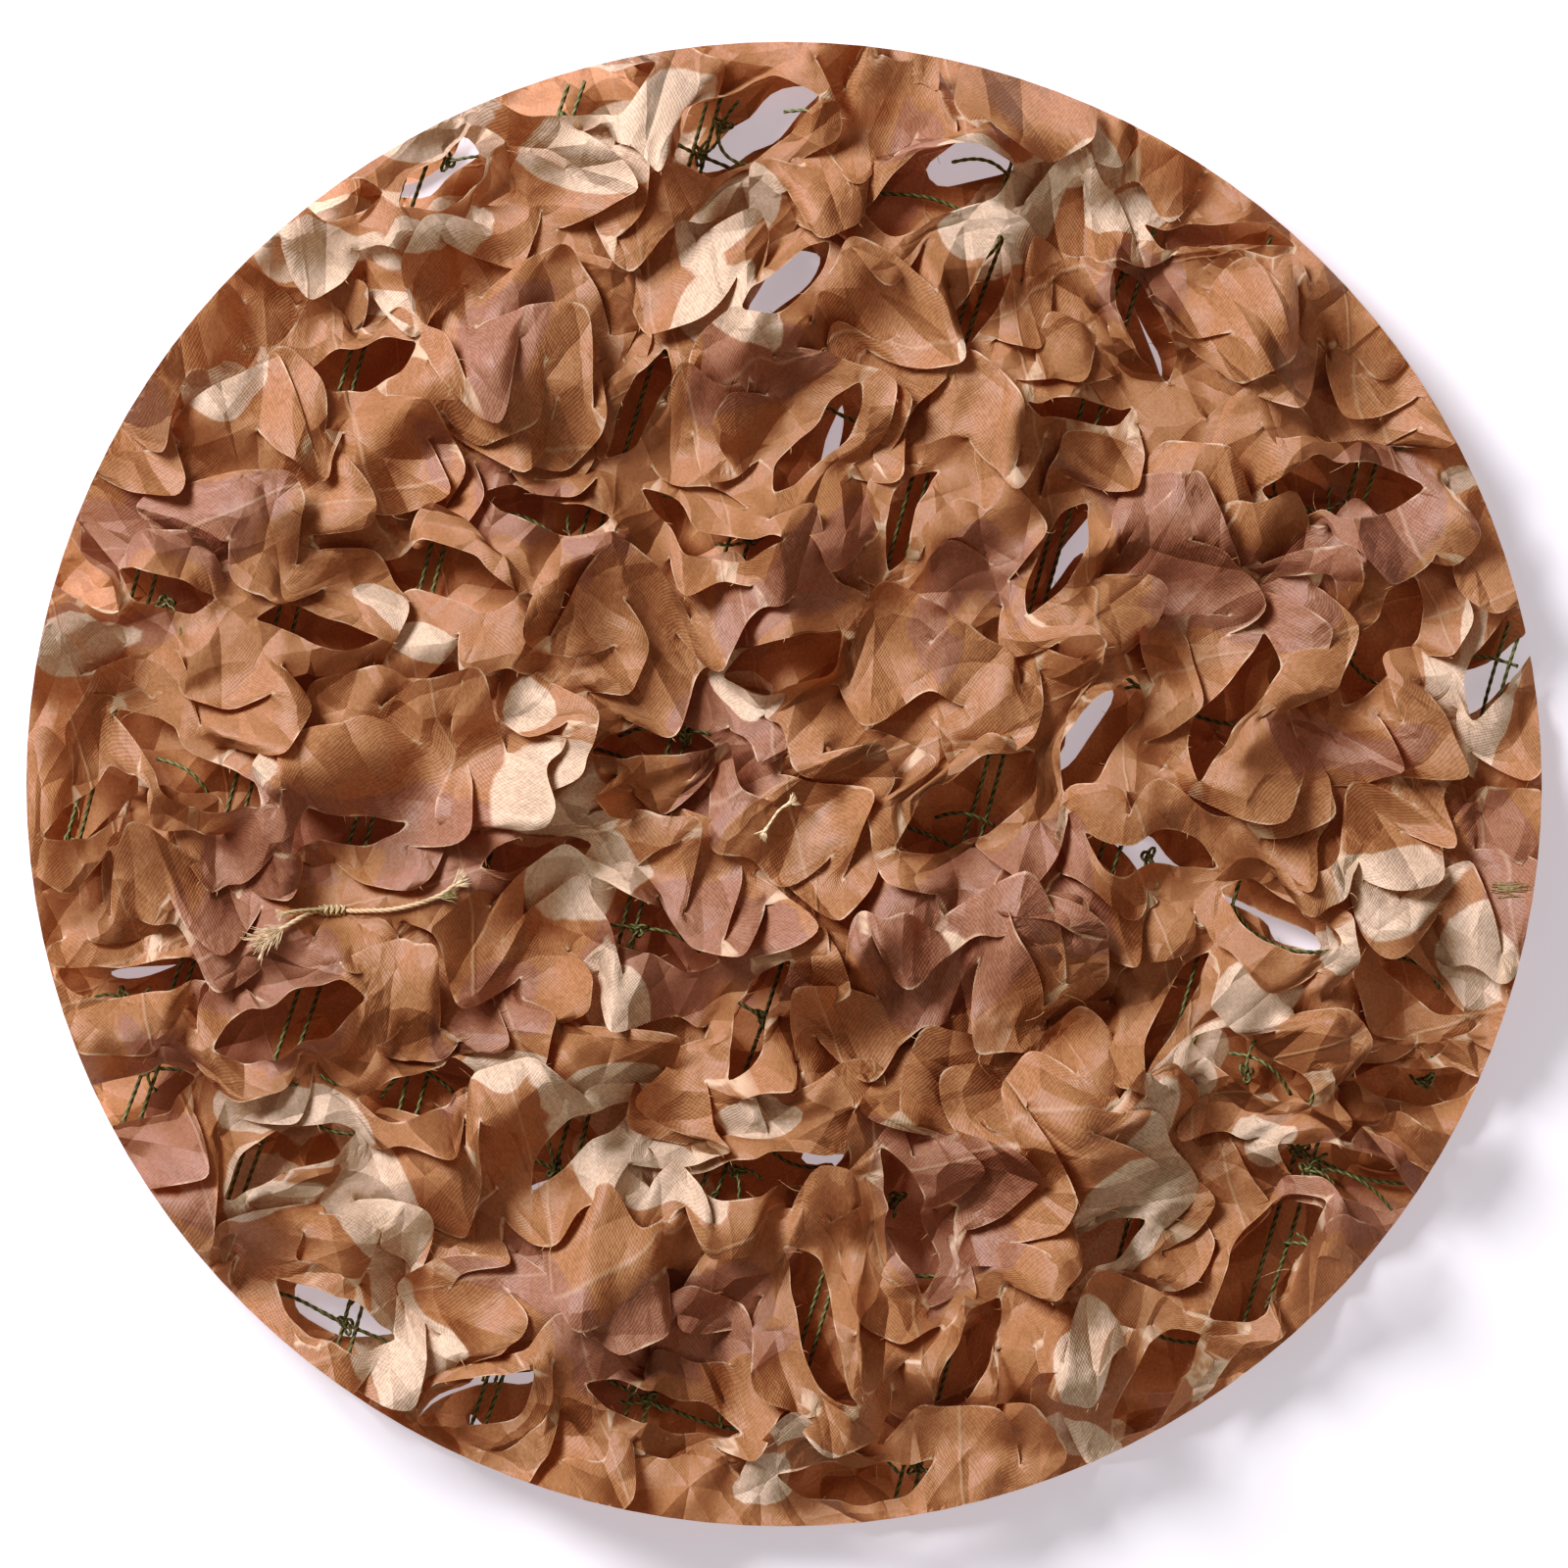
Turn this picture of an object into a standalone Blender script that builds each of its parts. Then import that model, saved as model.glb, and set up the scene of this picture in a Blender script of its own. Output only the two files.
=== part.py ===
# Camouflage net: a round cut length of a two-layer camouflage net, laid out flat on a surface.
# Two sheets of slit cloth, one over and one under a knotted net of green cord, and the tan ties
# that hold the sheets to the net. Metres, +Z up, origin under the middle of the underside.

import math
import random
from collections import namedtuple

import bmesh
import bpy
import numpy as np
from mathutils import Vector, geometry

MM = 0.001

# The round cut and the heights of the layers.
HALF_LENGTH = 270 * MM        # along X
HALF_WIDTH = 264.5 * MM       # along Y
CLOTH_THICK = 1.2 * MM
SLOPE_THICK = 1.15 * CLOTH_THICK   # the most height that the sheet takes up where it slopes
RIM_MARGIN = 16 * MM          # cloth laid out past the round cut, before it is trimmed
TRIM_SIDES = 72
PIECE_GAP = 0.3 * MM          # between pieces that touch
NET_HEIGHT = 14 * MM          # middle of the cords
CORD_RADIUS = 0.7 * MM
KNOT_LENGTH = 10 * MM         # across the pair of cords
KNOT_RADIUS = 1.35 * MM

# The upper sheet.
TOP_FLOOR = NET_HEIGHT + KNOT_RADIUS + PIECE_GAP   # lowest the upper sheet may lie
TOP_LEVEL = 27 * MM           # its mean height
TOP_CEILING = 50 * MM         # highest it may rise
TOP_PITCH = 16.5 * MM         # size of its facets
LIP_REACH = 25 * MM           # how far a raised lip's curl runs back into the cloth
TOP_PULL = 13 * MM            # how far round a knot the sheet is drawn to the net
TOP_SINK = 1 * MM             # how far under its floor a knot would draw it
TOP_SHOULDER = 0.7 * MM       # rounding where it meets its floor or its ceiling

# The wavy cuts. A cut runs on past the stretch that stands open.
CUT_OVERRUN = 1.6
CUT_SHORTEST = 44 * MM
CUT_LONGEST = 66 * MM
CUT_WAVE = 0.16               # swing of a cut to each side, as a share of its length
CUT_CLEARANCE = 10 * MM       # cloth left between two cuts
CUT_SHARES = (1.0, 0.85, 0.7, 0.55)   # lengths tried for a cut, the longest first
SPARE_PITCH = 37 * MM         # spacing of the nearly closed cuts
SPARE_RUN = 60 * MM
SPARE_GAPS = (5, 9)           # narrowest and widest opening, in mm
SPARE_TILTS = (-30, 55)       # lowest and highest tilt, in degrees
SPARE_SWINGS = (0, 30, -30, 60, -60)  # turns tried for a cut that finds no room

# The lips of an open cut: one curls up, the other sinks a little.
RAISED_SHARE = 0.6            # share of the opening that the raised lip draws back
LIP_RISE = 0.85               # height of the raised lip, as a share of what its cloth allows
LIP_DROP = 0.25               # depth of the other, as a share of the same
LIP_RUFFLE = 0.25             # waviness of both

# The gathers where the sheets are drawn to the net.
KNOT_CLEAR = 11 * MM          # a knot with a cut nearer than this draws no cloth
GATHER_COUNT = 5
GATHER_RISE = 1.8 * MM

# The lower sheet.
LOW_CEILING = NET_HEIGHT - KNOT_RADIUS - PIECE_GAP - SLOPE_THICK
LOW_LEVEL = 3 * MM
LOW_PITCH = 24 * MM
LOW_LIP_REACH = 18 * MM
LOW_LIFT = 0.6                # its lips rise less than those of the upper sheet
LOW_SWELL = 0.8               # so do its swells
LOW_PULL = 12 * MM

# The net.
MAIN_TILT = 73.2              # degrees from X, the way the pairs of main cords run
ROW_TILT = -14.0              # degrees from X, the way the cross cords run
PAIR_SPACING = 5.6 * MM
NET_MARGIN = 3 * MM           # the cords end this far inside the cut edge
MAIN_STEP = 80 * MM
MAIN_WAVE = 60 * MM           # the pairs sway once in about six of these
PAIR_WAVE = 38 * MM           # and so does the gap between the two cords
PAIR_SWING = 0.25             # how much that gap varies
RIM_SHORTEST = 1.2 * MM       # shorter facets of the cut edge are merged

SEED = 7

Slit = namedtuple("Slit", "x y run gap tilt")
Fold = namedtuple("Fold", "x0 y0 x1 y1 rise width")
Wave = namedtuple("Wave", "length direction phase rise")
Main = namedtuple("Main", "x sway")
Row = namedtuple("Row", "y slack")
TailPoint = namedtuple("TailPoint", "x y z")

# Cuts of the upper sheet that stand open: middle, run, opening in mm, tilt in degrees.
TOP_SLITS = [
    Slit(-15, 233, 40, 26, 30), Slit(56, 213, 52, 24, 15), Slit(0, 179, 26, 14, 35),
    Slit(127, 163, 32, 14, -65), Slit(156, 197, 38, 9, -12), Slit(-150, 148, 28, 15, 10),
    Slit(-84, 100, 32, 14, -10), Slit(-121, 73, 42, 20, -12), Slit(0, 45, 32, 18, 25),
    Slit(-46, 13, 32, 11, 5), Slit(19, -3, 38, 28, 5), Slit(68, -5, 40, 26, 35),
    Slit(-158, -16, 28, 11, 20), Slit(-210, 4, 40, 18, -25), Slit(-177, -86, 38, 24, 15),
    Slit(-46, -52, 36, 21, -25), Slit(-130, -109, 32, 16, 8), Slit(-7, -135, 48, 15, 5),
    Slit(-89, -27, 42, 14, 10), Slit(40, -156, 36, 14, -75), Slit(13, -189, 38, 16, -60),
    Slit(63, -199, 30, 14, 50), Slit(-44, -220, 46, 16, -12), Slit(174, -48, 30, 17, -30),
    Slit(154, 29, 38, 15, 70), Slit(197, 107, 50, 21, 2), Slit(210, 52, 38, 20, 60),
    Slit(111, 19, 34, 18, 60), Slit(131, -24, 34, 12, -15), Slit(165, -101, 36, 16, -35),
    Slit(225, -104, 32, 15, 0), Slit(201, -138, 42, 19, -22), Slit(171, -172, 40, 24, 40),
    Slit(133, -213, 32, 17, 50), Slit(108, -169, 28, 16, 40), Slit(25, -248, 48, 16, 3),
    Slit(-110, -219, 32, 18, 25), Slit(-158, -184, 28, 16, -30), Slit(-176, -133, 36, 17, 20),
    Slit(-230, -114, 32, 17, 25), Slit(-231, -67, 36, 14, -10), Slit(-245, -2, 32, 14, 30),
    Slit(-252, 78, 32, 17, -45), Slit(-118, 218, 32, 19, 25), Slit(-156, 210, 25, 12, 10),
    Slit(-75, 245, 42, 20, 10), Slit(-26, 94, 40, 13, -25), Slit(-53, 136, 32, 12, 62),
    Slit(70, 174, 32, 12, 72), Slit(99, 81, 30, 14, 62), Slit(7, 122, 30, 14, 60),
    Slit(-222, 68, 28, 12, -10), Slit(-168, 54, 30, 10, -12), Slit(-74, -130, 30, 11, 40),
    Slit(256, 45, 30, 18, 60), Slit(227, -67, 26, 10, -40), Slit(-11, -82, 32, 12, 70),
    Slit(105, 136, 24, 7, -5), Slit(47, 94, 26, 11, 62), Slit(142, -78, 24, 9, 60),
]

# Cuts of the lower sheet, under the places where one sees right through.
LOW_SLITS = [
    Slit(-8, 233, 44, 24, 35), Slit(0, 180, 30, 14, 35), Slit(-127, 219, 30, 10, 30),
    Slit(126, 164, 28, 12, -70), Slit(196, 143, 30, 12, -65), Slit(100, 82, 32, 13, 60),
    Slit(60, 34, 34, 9, -10), Slit(107, 20, 28, 10, 60), Slit(133, -26, 32, 12, -20),
    Slit(175, -50, 36, 17, -30), Slit(253, 40, 34, 15, 55), Slit(-158, -184, 36, 18, -30),
    Slit(-109, -218, 36, 17, 25), Slit(-94, -244, 34, 12, -20), Slit(20, -132, 30, 10, 15),
    Slit(31, -18, 26, 8, 80), Slit(-103, 124, 28, 7, 10), Slit(12, 118, 30, 10, 60),
    Slit(-105, 28, 28, 8, -10), Slit(-60, 60, 30, 6, 15), Slit(-200, 20, 32, 7, -20),
    Slit(-190, 120, 30, 7, 15), Slit(-220, -60, 30, 7, 10), Slit(-60, -80, 32, 7, -15),
    Slit(60, -90, 30, 7, 20), Slit(120, -130, 30, 7, -15), Slit(70, -190, 30, 7, 15),
    Slit(-30, -180, 32, 7, -10), Slit(-100, -150, 30, 7, 20), Slit(190, -120, 30, 7, 15),
    Slit(60, 130, 30, 7, -15), Slit(140, 100, 30, 7, 20), Slit(70, 225, 30, 7, 10),
    Slit(-70, 190, 30, 7, -20), Slit(170, 20, 30, 7, 10),
]

# The main creases of the upper sheet: a ridge where rise is above 0, a trough below it, in mm.
TOP_FOLDS = [
    Fold(-159, 108, -196, 132, 6, 9), Fold(-159, 108, -200, 96, 5, 9),
    Fold(-159, 108, -128, 136, 6, 9), Fold(-159, 108, -124, 84, 5, 8),
    Fold(88, 172, 98, 130, -5, 10), Fold(172, 192, 134, 132, -6, 12),
    Fold(92, 73, 158, 106, 5, 7), Fold(49, 62, 122, 96, 4, 7),
    Fold(-40, 152, -66, 108, 5, 9), Fold(-66, 24, -80, 70, 6, 9),
    Fold(150, -2, 172, 24, 5, 9), Fold(196, 10, 232, 24, -4, 11),
    Fold(24, -60, 58, -36, 6, 9), Fold(66, -70, 96, -98, -5, 11),
    Fold(100, -128, 134, -150, 6, 10), Fold(-52, -168, -84, -186, 6, 9),
    Fold(-142, -150, -108, -178, -5, 10), Fold(-22, -112, 22, -100, 5, 8),
    Fold(-102, -70, -72, -104, 5, 8), Fold(-196, -30, -166, -62, -4, 9),
    Fold(20, 206, 34, 160, 6, 10), Fold(-96, 176, -60, 168, 5, 9),
    Fold(112, 218, 146, 226, 5, 9), Fold(-188, 178, -160, 184, -4, 9),
    Fold(188, -70, 206, -104, 5, 9), Fold(-196, -106, -222, -84, 4, 9),
]

# The slow swells of the sheets: wave length in mm, direction in degrees, phase, height in mm.
SWELLS = [
    Wave(96, 22, 0.4, 3.4), Wave(74, 118, 1.9, 3.2), Wave(59, 64, 4.2, 2.8), Wave(47, 155, 0.9, 1.8),
]

# The pairs of main cords: where each crosses the X axis, and how far it sways, in mm.
MAINS = [
    Main(-248, 2), Main(-196, -3), Main(-149, 3), Main(-98, -2), Main(-40, 3),
    Main(18, -3), Main(71, 2), Main(121, 3), Main(172, -2), Main(224, 2),
]

# The cross cords: where each crosses the Y axis, and how far it hangs between the pairs, in mm.
ROWS = [Row(232, 5), Row(158, -6), Row(85, 7), Row(8, -6), Row(-65, 7), Row(-142, -6), Row(-217, 5)]

# The tan ties, in mm. The long one is knotted over a pinch of the upper cloth, with a tail to each
# side; of the other only one end shows. A tail runs from its knot outwards.
TIE_RADIUS = 0.85 * MM
TIE_KNOT = TailPoint(-161, -45, 20.6)
TIE_KNOT_SIZE = (10.0, 6.5, 5.0)
TIE_TAILS = {
    "tie_tail_right": [TailPoint(-155.8, -45.1, 21.2), TailPoint(-151.5, -45.2, 24.6),
                       TailPoint(-147, -45, 27.6), TailPoint(-141, -44.8, 29.4),
                       TailPoint(-134, -43.6, 29.8), TailPoint(-127, -41.6, 29.2),
                       TailPoint(-120.5, -38.6, 28.6), TailPoint(-115, -34, 28.4)],
    "tie_tail_left": [TailPoint(-165.9, -45.2, 21.2), TailPoint(-169.6, -46.2, 24.4),
                      TailPoint(-173, -48.2, 27.4), TailPoint(-177.4, -50.8, 29.2),
                      TailPoint(-182.6, -54, 29.6), TailPoint(-188.4, -57.8, 29)],
    "tie_end": [TailPoint(-7, -17, 28.2), TailPoint(-4.6, -13.4, 29.6),
                TailPoint(-1.6, -9.2, 30), TailPoint(2.4, -6.6, 29.4)],
}
TIE_PRESS = 9 * MM            # how far to each side a tie shapes the cloth under it
TIE_SEAT = 0.6 * MM           # from a tie down to the middle of a facet of the cloth under it
BED_FLAT = 1 * MM             # flat cloth to each side of a tie


def clear_scene():
    for item in list(bpy.data.objects):
        bpy.data.objects.remove(item, do_unlink=True)


def make_material(name, colour, roughness):
    material = bpy.data.materials.new(name)
    material.use_nodes = True
    shader = material.node_tree.nodes["Principled BSDF"]
    shader.inputs["Base Color"].default_value = (*colour, 1.0)
    shader.inputs["Roughness"].default_value = roughness
    material.diffuse_color = (*colour, 1.0)
    return material


def add_object(name, mesh, collection, material):
    item = bpy.data.objects.new(name, mesh)
    collection.objects.link(item)
    item.data.materials.append(material)
    return item


def cut_offset(slit, along, turn):
    """Sideways swing of a wavy cut at a distance along its chord."""
    half = slit.run / 2
    share = np.clip(along / half, -1, 1)
    return turn * CUT_WAVE * slit.run * np.sin(math.pi * share)


def slit_frame(slit):
    angle = math.radians(slit.tilt)
    return np.array([math.cos(angle), math.sin(angle)]), np.array([-math.sin(angle), math.cos(angle)])


def slit_line(slit, turn, step):
    """Points along a wavy cut, from end to end."""
    along_way, across_way = slit_frame(slit)
    count = max(4, round(slit.run / step))
    line = []
    for index in range(count + 1):
        along = (index / count - 0.5) * slit.run
        across = float(cut_offset(slit, along, turn))
        line.append(np.array([slit.x, slit.y]) + along * along_way + across * across_way)
    return line


class CutPlan:
    """The wavy cuts of a sheet, none nearer to another, or to a tie, than the cloth left between."""

    def __init__(self):
        self.slits = []
        self.lines = [route_points(tail)[:, :2] for tail in TIE_TAILS.values()]

    def add(self, slit, turn, shares):
        """Add a cut at the longest of some shares of its length that stays clear."""
        for share in shares:
            trial = slit._replace(run=slit.run * share)
            line = np.array(slit_line(trial, turn, 5 * MM))
            nearest = min(np.min(np.linalg.norm(line[:, None] - other[None], axis=2))
                          for other in self.lines)
            if nearest > CUT_CLEARANCE:
                self.slits.append((trial, turn))
                self.lines.append(line)
                return True
        return False


def open_cuts(table):
    """The cuts of a table, in metres, each turned the other way from the one before."""
    plan = CutPlan()
    for index, row in enumerate(table):
        run = min(max(row.run * MM * CUT_OVERRUN, CUT_SHORTEST), CUT_LONGEST)
        slit = Slit(row.x * MM, row.y * MM, run, row.gap * MM, row.tilt)
        plan.add(slit, 1 if index % 2 else -1, CUT_SHARES)
    return plan


def add_spare_cuts(plan, spacing, chance):
    """Nearly closed cuts that fill the cloth between the open ones."""
    reach = int(HALF_LENGTH / spacing) + 2
    for row in range(-reach, reach + 1):
        for column in range(-reach, reach + 1):
            x = (column + 0.5 * (row % 2) + chance.uniform(-0.17, 0.17)) * spacing
            y = (0.8 * row + chance.uniform(-0.2, 0.2)) * spacing
            tilt = chance.uniform(*SPARE_TILTS)
            gap = chance.uniform(*SPARE_GAPS) * MM
            if (x / HALF_LENGTH) ** 2 + (y / HALF_WIDTH) ** 2 > 0.98:
                continue
            slit = Slit(x, y, SPARE_RUN, gap, tilt)
            turn = 1 if (row + column) % 2 else -1
            for swing in SPARE_SWINGS:
                if plan.add(slit._replace(tilt=tilt + swing), turn, CUT_SHARES[:3]):
                    break


def cut_pattern(slits, pitch, beds, chance):
    """The flat cloth as a triangulated disc, with the edges of every cut and corners on every bed."""
    radius_x = HALF_LENGTH + RIM_MARGIN
    radius_y = HALF_WIDTH + RIM_MARGIN
    rim_count = int(math.tau * radius_x / pitch)
    points = []
    edges = []
    for index in range(rim_count):
        angle = math.tau * index / rim_count
        points.append((radius_x * math.cos(angle), radius_y * math.sin(angle)))
        edges.append((index, (index + 1) % rim_count))
    first_cut = len(edges)
    for slit, turn in slits:
        line = slit_line(slit, turn, 0.6 * pitch)
        line = [p for p in line if (p[0] / radius_x) ** 2 + (p[1] / radius_y) ** 2 < 0.97]
        start = len(points)
        points.extend((float(p[0]), float(p[1])) for p in line)
        edges.extend((start + i, start + i + 1) for i in range(len(line) - 1))
    for x, y in beds:
        nearest = min(math.hypot(x - px, y - py) for px, py in points)
        if nearest > 0.3 * pitch:
            points.append((x, y))
    fixed = np.array(points)
    rows = int(radius_y / (pitch * 0.866)) + 1
    columns = int(radius_x / pitch) + 1
    for row in range(-rows, rows + 1):
        for column in range(-columns, columns + 1):
            x = (column + 0.5 * (row % 2) + chance.uniform(-0.12, 0.12)) * pitch
            y = (row * 0.866 + chance.uniform(-0.12, 0.12)) * pitch
            if (x / radius_x) ** 2 + (y / radius_y) ** 2 > 0.985:
                continue
            if np.min(np.hypot(fixed[:, 0] - x, fixed[:, 1] - y)) < 0.62 * pitch:
                continue
            points.append((x, y))
    found = geometry.delaunay_2d_cdt([Vector(p) for p in points], edges, [], 0, 1e-6)
    flat, lines, faces, _, line_source, _ = found
    cuts = {tuple(sorted(line)) for line, source in zip(lines, line_source)
            if any(s >= first_cut for s in source)}
    return [(p.x, p.y) for p in flat], faces, cuts


def slit_cloth(slits, pitch, beds, chance):
    """A bmesh of the flat cloth, opened along its cuts, and a probe point inside it for each corner."""
    flat, faces, cuts = cut_pattern(slits, pitch, beds, chance)
    cloth = bmesh.new()
    corners = [cloth.verts.new((x, y, 0)) for x, y in flat]
    for face in faces:
        cloth.faces.new([corners[i] for i in face])
    bmesh.ops.recalc_face_normals(cloth, faces=cloth.faces)
    if sum(face.normal.z for face in cloth.faces) < 0:
        bmesh.ops.reverse_faces(cloth, faces=cloth.faces)
    cloth.verts.index_update()
    open_edges = [e for e in cloth.edges
                  if tuple(sorted((e.verts[0].index, e.verts[1].index))) in cuts]
    bmesh.ops.split_edges(cloth, edges=open_edges)
    cloth.verts.ensure_lookup_table()
    probes = []
    for corner in cloth.verts:
        middle = Vector((0, 0, 0))
        for face in corner.link_faces:
            middle += face.calc_center_median() / len(corner.link_faces)
        probes.append(corner.co.lerp(middle, 0.2))
    return cloth, np.array([p.to_tuple() for p in probes])[:, :2]


def swell(x, y, share=1.0):
    total = np.zeros_like(x)
    for wave in SWELLS:
        angle = math.radians(wave.direction)
        travel = (x * math.cos(angle) + y * math.sin(angle)) / (wave.length * MM)
        total += share * wave.rise * MM * np.sin(math.tau * travel + wave.phase)
    return total


def fold_height(x, y):
    """Height that the hand-placed creases add."""
    total = np.zeros_like(x)
    for fold in TOP_FOLDS:
        start = np.array([fold.x0, fold.y0]) * MM
        way = np.array([fold.x1, fold.y1]) * MM - start
        length = np.linalg.norm(way)
        way = way / length
        along = (x - start[0]) * way[0] + (y - start[1]) * way[1]
        across = -(x - start[0]) * way[1] + (y - start[1]) * way[0]
        beyond = np.maximum(np.maximum(-along, along - length), 0)
        distance = np.hypot(across, beyond) / (fold.width * MM)
        total += fold.rise * MM * np.exp(-distance ** 2)
    return total


def soft_limit(height, low, high, blend):
    """Height kept between two levels, with rounded shoulders."""
    lifted = low + blend * np.logaddexp(0, (height - low) / blend)
    return high - blend * np.logaddexp(0, (high - lifted) / blend)


def open_slits(place, probes, slits, reach):
    """Where the lips of every cut go: apart in plan, one lip up in a curl, the other a little down."""
    move = np.zeros_like(place)
    lift = np.zeros(len(place))
    for slit, turn in slits:
        along_way, across_way = slit_frame(slit)
        middle = np.array([slit.x, slit.y])
        along = (place - middle) @ along_way
        across = (place - middle) @ across_way - cut_offset(slit, along, turn)
        probe_along = (probes - middle) @ along_way
        probe_across = (probes - middle) @ across_way - cut_offset(slit, probe_along, turn)
        side = np.sign(probe_across)
        opening = np.clip(1 - (2 * along / slit.run) ** 2, 0, 1)
        fade = np.clip(1 - np.abs(across) / reach, 0, 1) ** 2
        raised = side == turn
        part = np.where(raised, RAISED_SHARE, 1 - RAISED_SHARE)
        shift = part * slit.gap * opening * fade
        move += (side * shift)[:, None] * across_way[None]
        drawn = RAISED_SHARE * slit.gap
        rise = math.sqrt(drawn * (2 * reach - drawn))
        ruffle = 1 + LIP_RUFFLE * np.cos(math.tau * along / (0.8 * slit.run) + 2.1 * turn)
        lift += np.where(raised, LIP_RISE, -LIP_DROP) * rise * opening * fade * ruffle
    return move, lift


def knot_points():
    """Where the cross cords are knotted to the pairs of main cords."""
    points = []
    for main in MAINS:
        for row in ROWS:
            point = crossing(main, row)
            if (point[0] / HALF_LENGTH) ** 2 + (point[1] / HALF_WIDTH) ** 2 < 0.93:
                points.append(point)
    return points


def crossing(main, row):
    """Plan position where a cross cord meets a pair."""
    main_way = (math.cos(math.radians(MAIN_TILT)), math.sin(math.radians(MAIN_TILT)))
    row_way = (math.cos(math.radians(ROW_TILT)), math.sin(math.radians(ROW_TILT)))
    x = main.x * MM
    y = row.y * MM
    spread = main_way[0] * row_way[1] - main_way[1] * row_way[0]
    along_pair = (y * row_way[0] - x * row_way[1]) / spread
    return (x + along_pair * main_way[0], along_pair * main_way[1])


def settle_on_knots(place, height, level, radius, slits):
    """Draw the cloth to the net at the knots that no cut runs past."""
    cuts = np.vstack([slit_line(slit, turn, 6 * MM) for slit, turn in slits])
    for knot in knot_points():
        if np.min(np.hypot(cuts[:, 0] - knot[0], cuts[:, 1] - knot[1])) < KNOT_CLEAR:
            continue
        away = np.hypot(place[:, 0] - knot[0], place[:, 1] - knot[1])
        turn = np.arctan2(place[:, 1] - knot[1], place[:, 0] - knot[0])
        pull = np.exp(-(away / radius) ** 2)
        height = height * (1 - pull) + level * pull
        gathers = np.sin(GATHER_COUNT * turn + 40 * knot[0] + 60 * knot[1])
        height = height + GATHER_RISE * gathers * (away / radius) * np.exp(-(away / radius) ** 2)
    return height


def trim_round(cloth):
    """Cut the cloth to the round outline, and keep the one piece that holds together."""
    for index in range(TRIM_SIDES):
        angle = math.tau * (index + 0.5) / TRIM_SIDES
        normal = Vector((math.cos(angle) / HALF_LENGTH, math.sin(angle) / HALF_WIDTH, 0)).normalized()
        point = Vector((HALF_LENGTH * math.cos(angle), HALF_WIDTH * math.sin(angle), 0))
        parts = list(cloth.verts) + list(cloth.edges) + list(cloth.faces)
        bmesh.ops.bisect_plane(cloth, geom=parts, dist=1e-6, plane_co=point, plane_no=normal,
                               clear_outer=True)
    short = [e for e in cloth.edges if e.is_boundary and e.calc_length() < RIM_SHORTEST
             and all(is_rim(v) for v in e.verts)]
    bmesh.ops.collapse(cloth, edges=short)
    keep_largest(cloth)


def is_rim(corner):
    return (corner.co.x / HALF_LENGTH) ** 2 + (corner.co.y / HALF_WIDTH) ** 2 > 0.99


def keep_largest(cloth):
    left = set(cloth.faces)
    groups = []
    while left:
        seed = left.pop()
        group = {seed}
        stack = [seed]
        while stack:
            face = stack.pop()
            for edge in face.edges:
                for other in edge.link_faces:
                    if other in left:
                        left.discard(other)
                        group.add(other)
                        stack.append(other)
        groups.append(group)
    largest = max(groups, key=len)
    spare = [face for face in cloth.faces if face not in largest]
    bmesh.ops.delete(cloth, geom=spare, context="FACES")


def finish_sheet(cloth, name, collection, material):
    """Turn the surface into a sheet of even thickness that stands on it."""
    trim_round(cloth)
    mesh = bpy.data.meshes.new(name)
    cloth.to_mesh(mesh)
    cloth.free()
    mesh.shade_smooth()
    sheet = add_object(name, mesh, collection, material)
    solid = sheet.modifiers.new("thickness", "SOLIDIFY")
    solid.thickness = CLOTH_THICK
    solid.offset = 1.0
    solid.use_even_offset = False
    return sheet


def route_points(tail):
    """Points along a tie's tail, a smooth curve through its own points, in metres."""
    knots = np.array(tail) * MM
    points = []
    for index in range(len(knots) - 1):
        before = knots[max(index - 1, 0)]
        start, end = knots[index], knots[index + 1]
        after = knots[min(index + 2, len(knots) - 1)]
        for share in (0.0, 0.5):
            bend = (2 * start + (end - before) * share
                    + (2 * before - 5 * start + 4 * end - after) * share ** 2
                    + (3 * start - before - 3 * end + after) * share ** 3)
            points.append(bend / 2)
    points.append(knots[-1])
    return np.array(points)


def tie_beds():
    """Plan points of the cloth's corners under the ties, a little past their ends too."""
    beds = []
    for tail in TIE_TAILS.values():
        route = route_points(tail)[:, :2]
        beds.append(2 * route[0] - route[2])
        beds.extend(route)
        beds.append(2 * route[-1] - route[-3])
    for across in (-1, 1):
        for along in (-1, 1):
            beds.append(np.array([TIE_KNOT.x + along * 0.4 * TIE_KNOT_SIZE[0],
                                  TIE_KNOT.y + across * 0.8 * TIE_KNOT_SIZE[1]]) * MM)
    return beds


def off_ties(place):
    """Nothing at a tie and 1 well away from one: the cloth is held where a tie lies on it."""
    route = np.vstack([route_points(tail) for tail in TIE_TAILS.values()] + [np.array([TIE_KNOT]) * MM])
    away = np.hypot(place[:, None, 0] - route[None, :, 0], place[:, None, 1] - route[None, :, 1])
    return 1 - np.exp(-(np.min(away, axis=1) / TIE_PRESS) ** 2)


def press_under_ties(place, height):
    """Lead the cloth along under the ties that lie on it."""
    beds = [(route_points(tail), TIE_RADIUS, TIE_RADIUS) for tail in TIE_TAILS.values()]
    beds.append((np.array([TIE_KNOT]) * MM, TIE_KNOT_SIZE[2] / 2 * MM, TIE_KNOT_SIZE[0] / 2 * MM))
    for route, depth, half_width in beds:
        away = np.hypot(place[:, None, 0] - route[None, :, 0], place[:, None, 1] - route[None, :, 1])
        nearest = np.argmin(away, axis=1)
        distance = np.maximum(away[np.arange(len(place)), nearest] - half_width - BED_FLAT, 0)
        bed = route[nearest, 2] - depth - TIE_SEAT - SLOPE_THICK
        share = np.exp(-(distance / TIE_PRESS) ** 2)
        height = height * (1 - share) + bed * share
        height = np.minimum(height, bed + distance ** 2 / (2 * TIE_PRESS))
    return height


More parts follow.
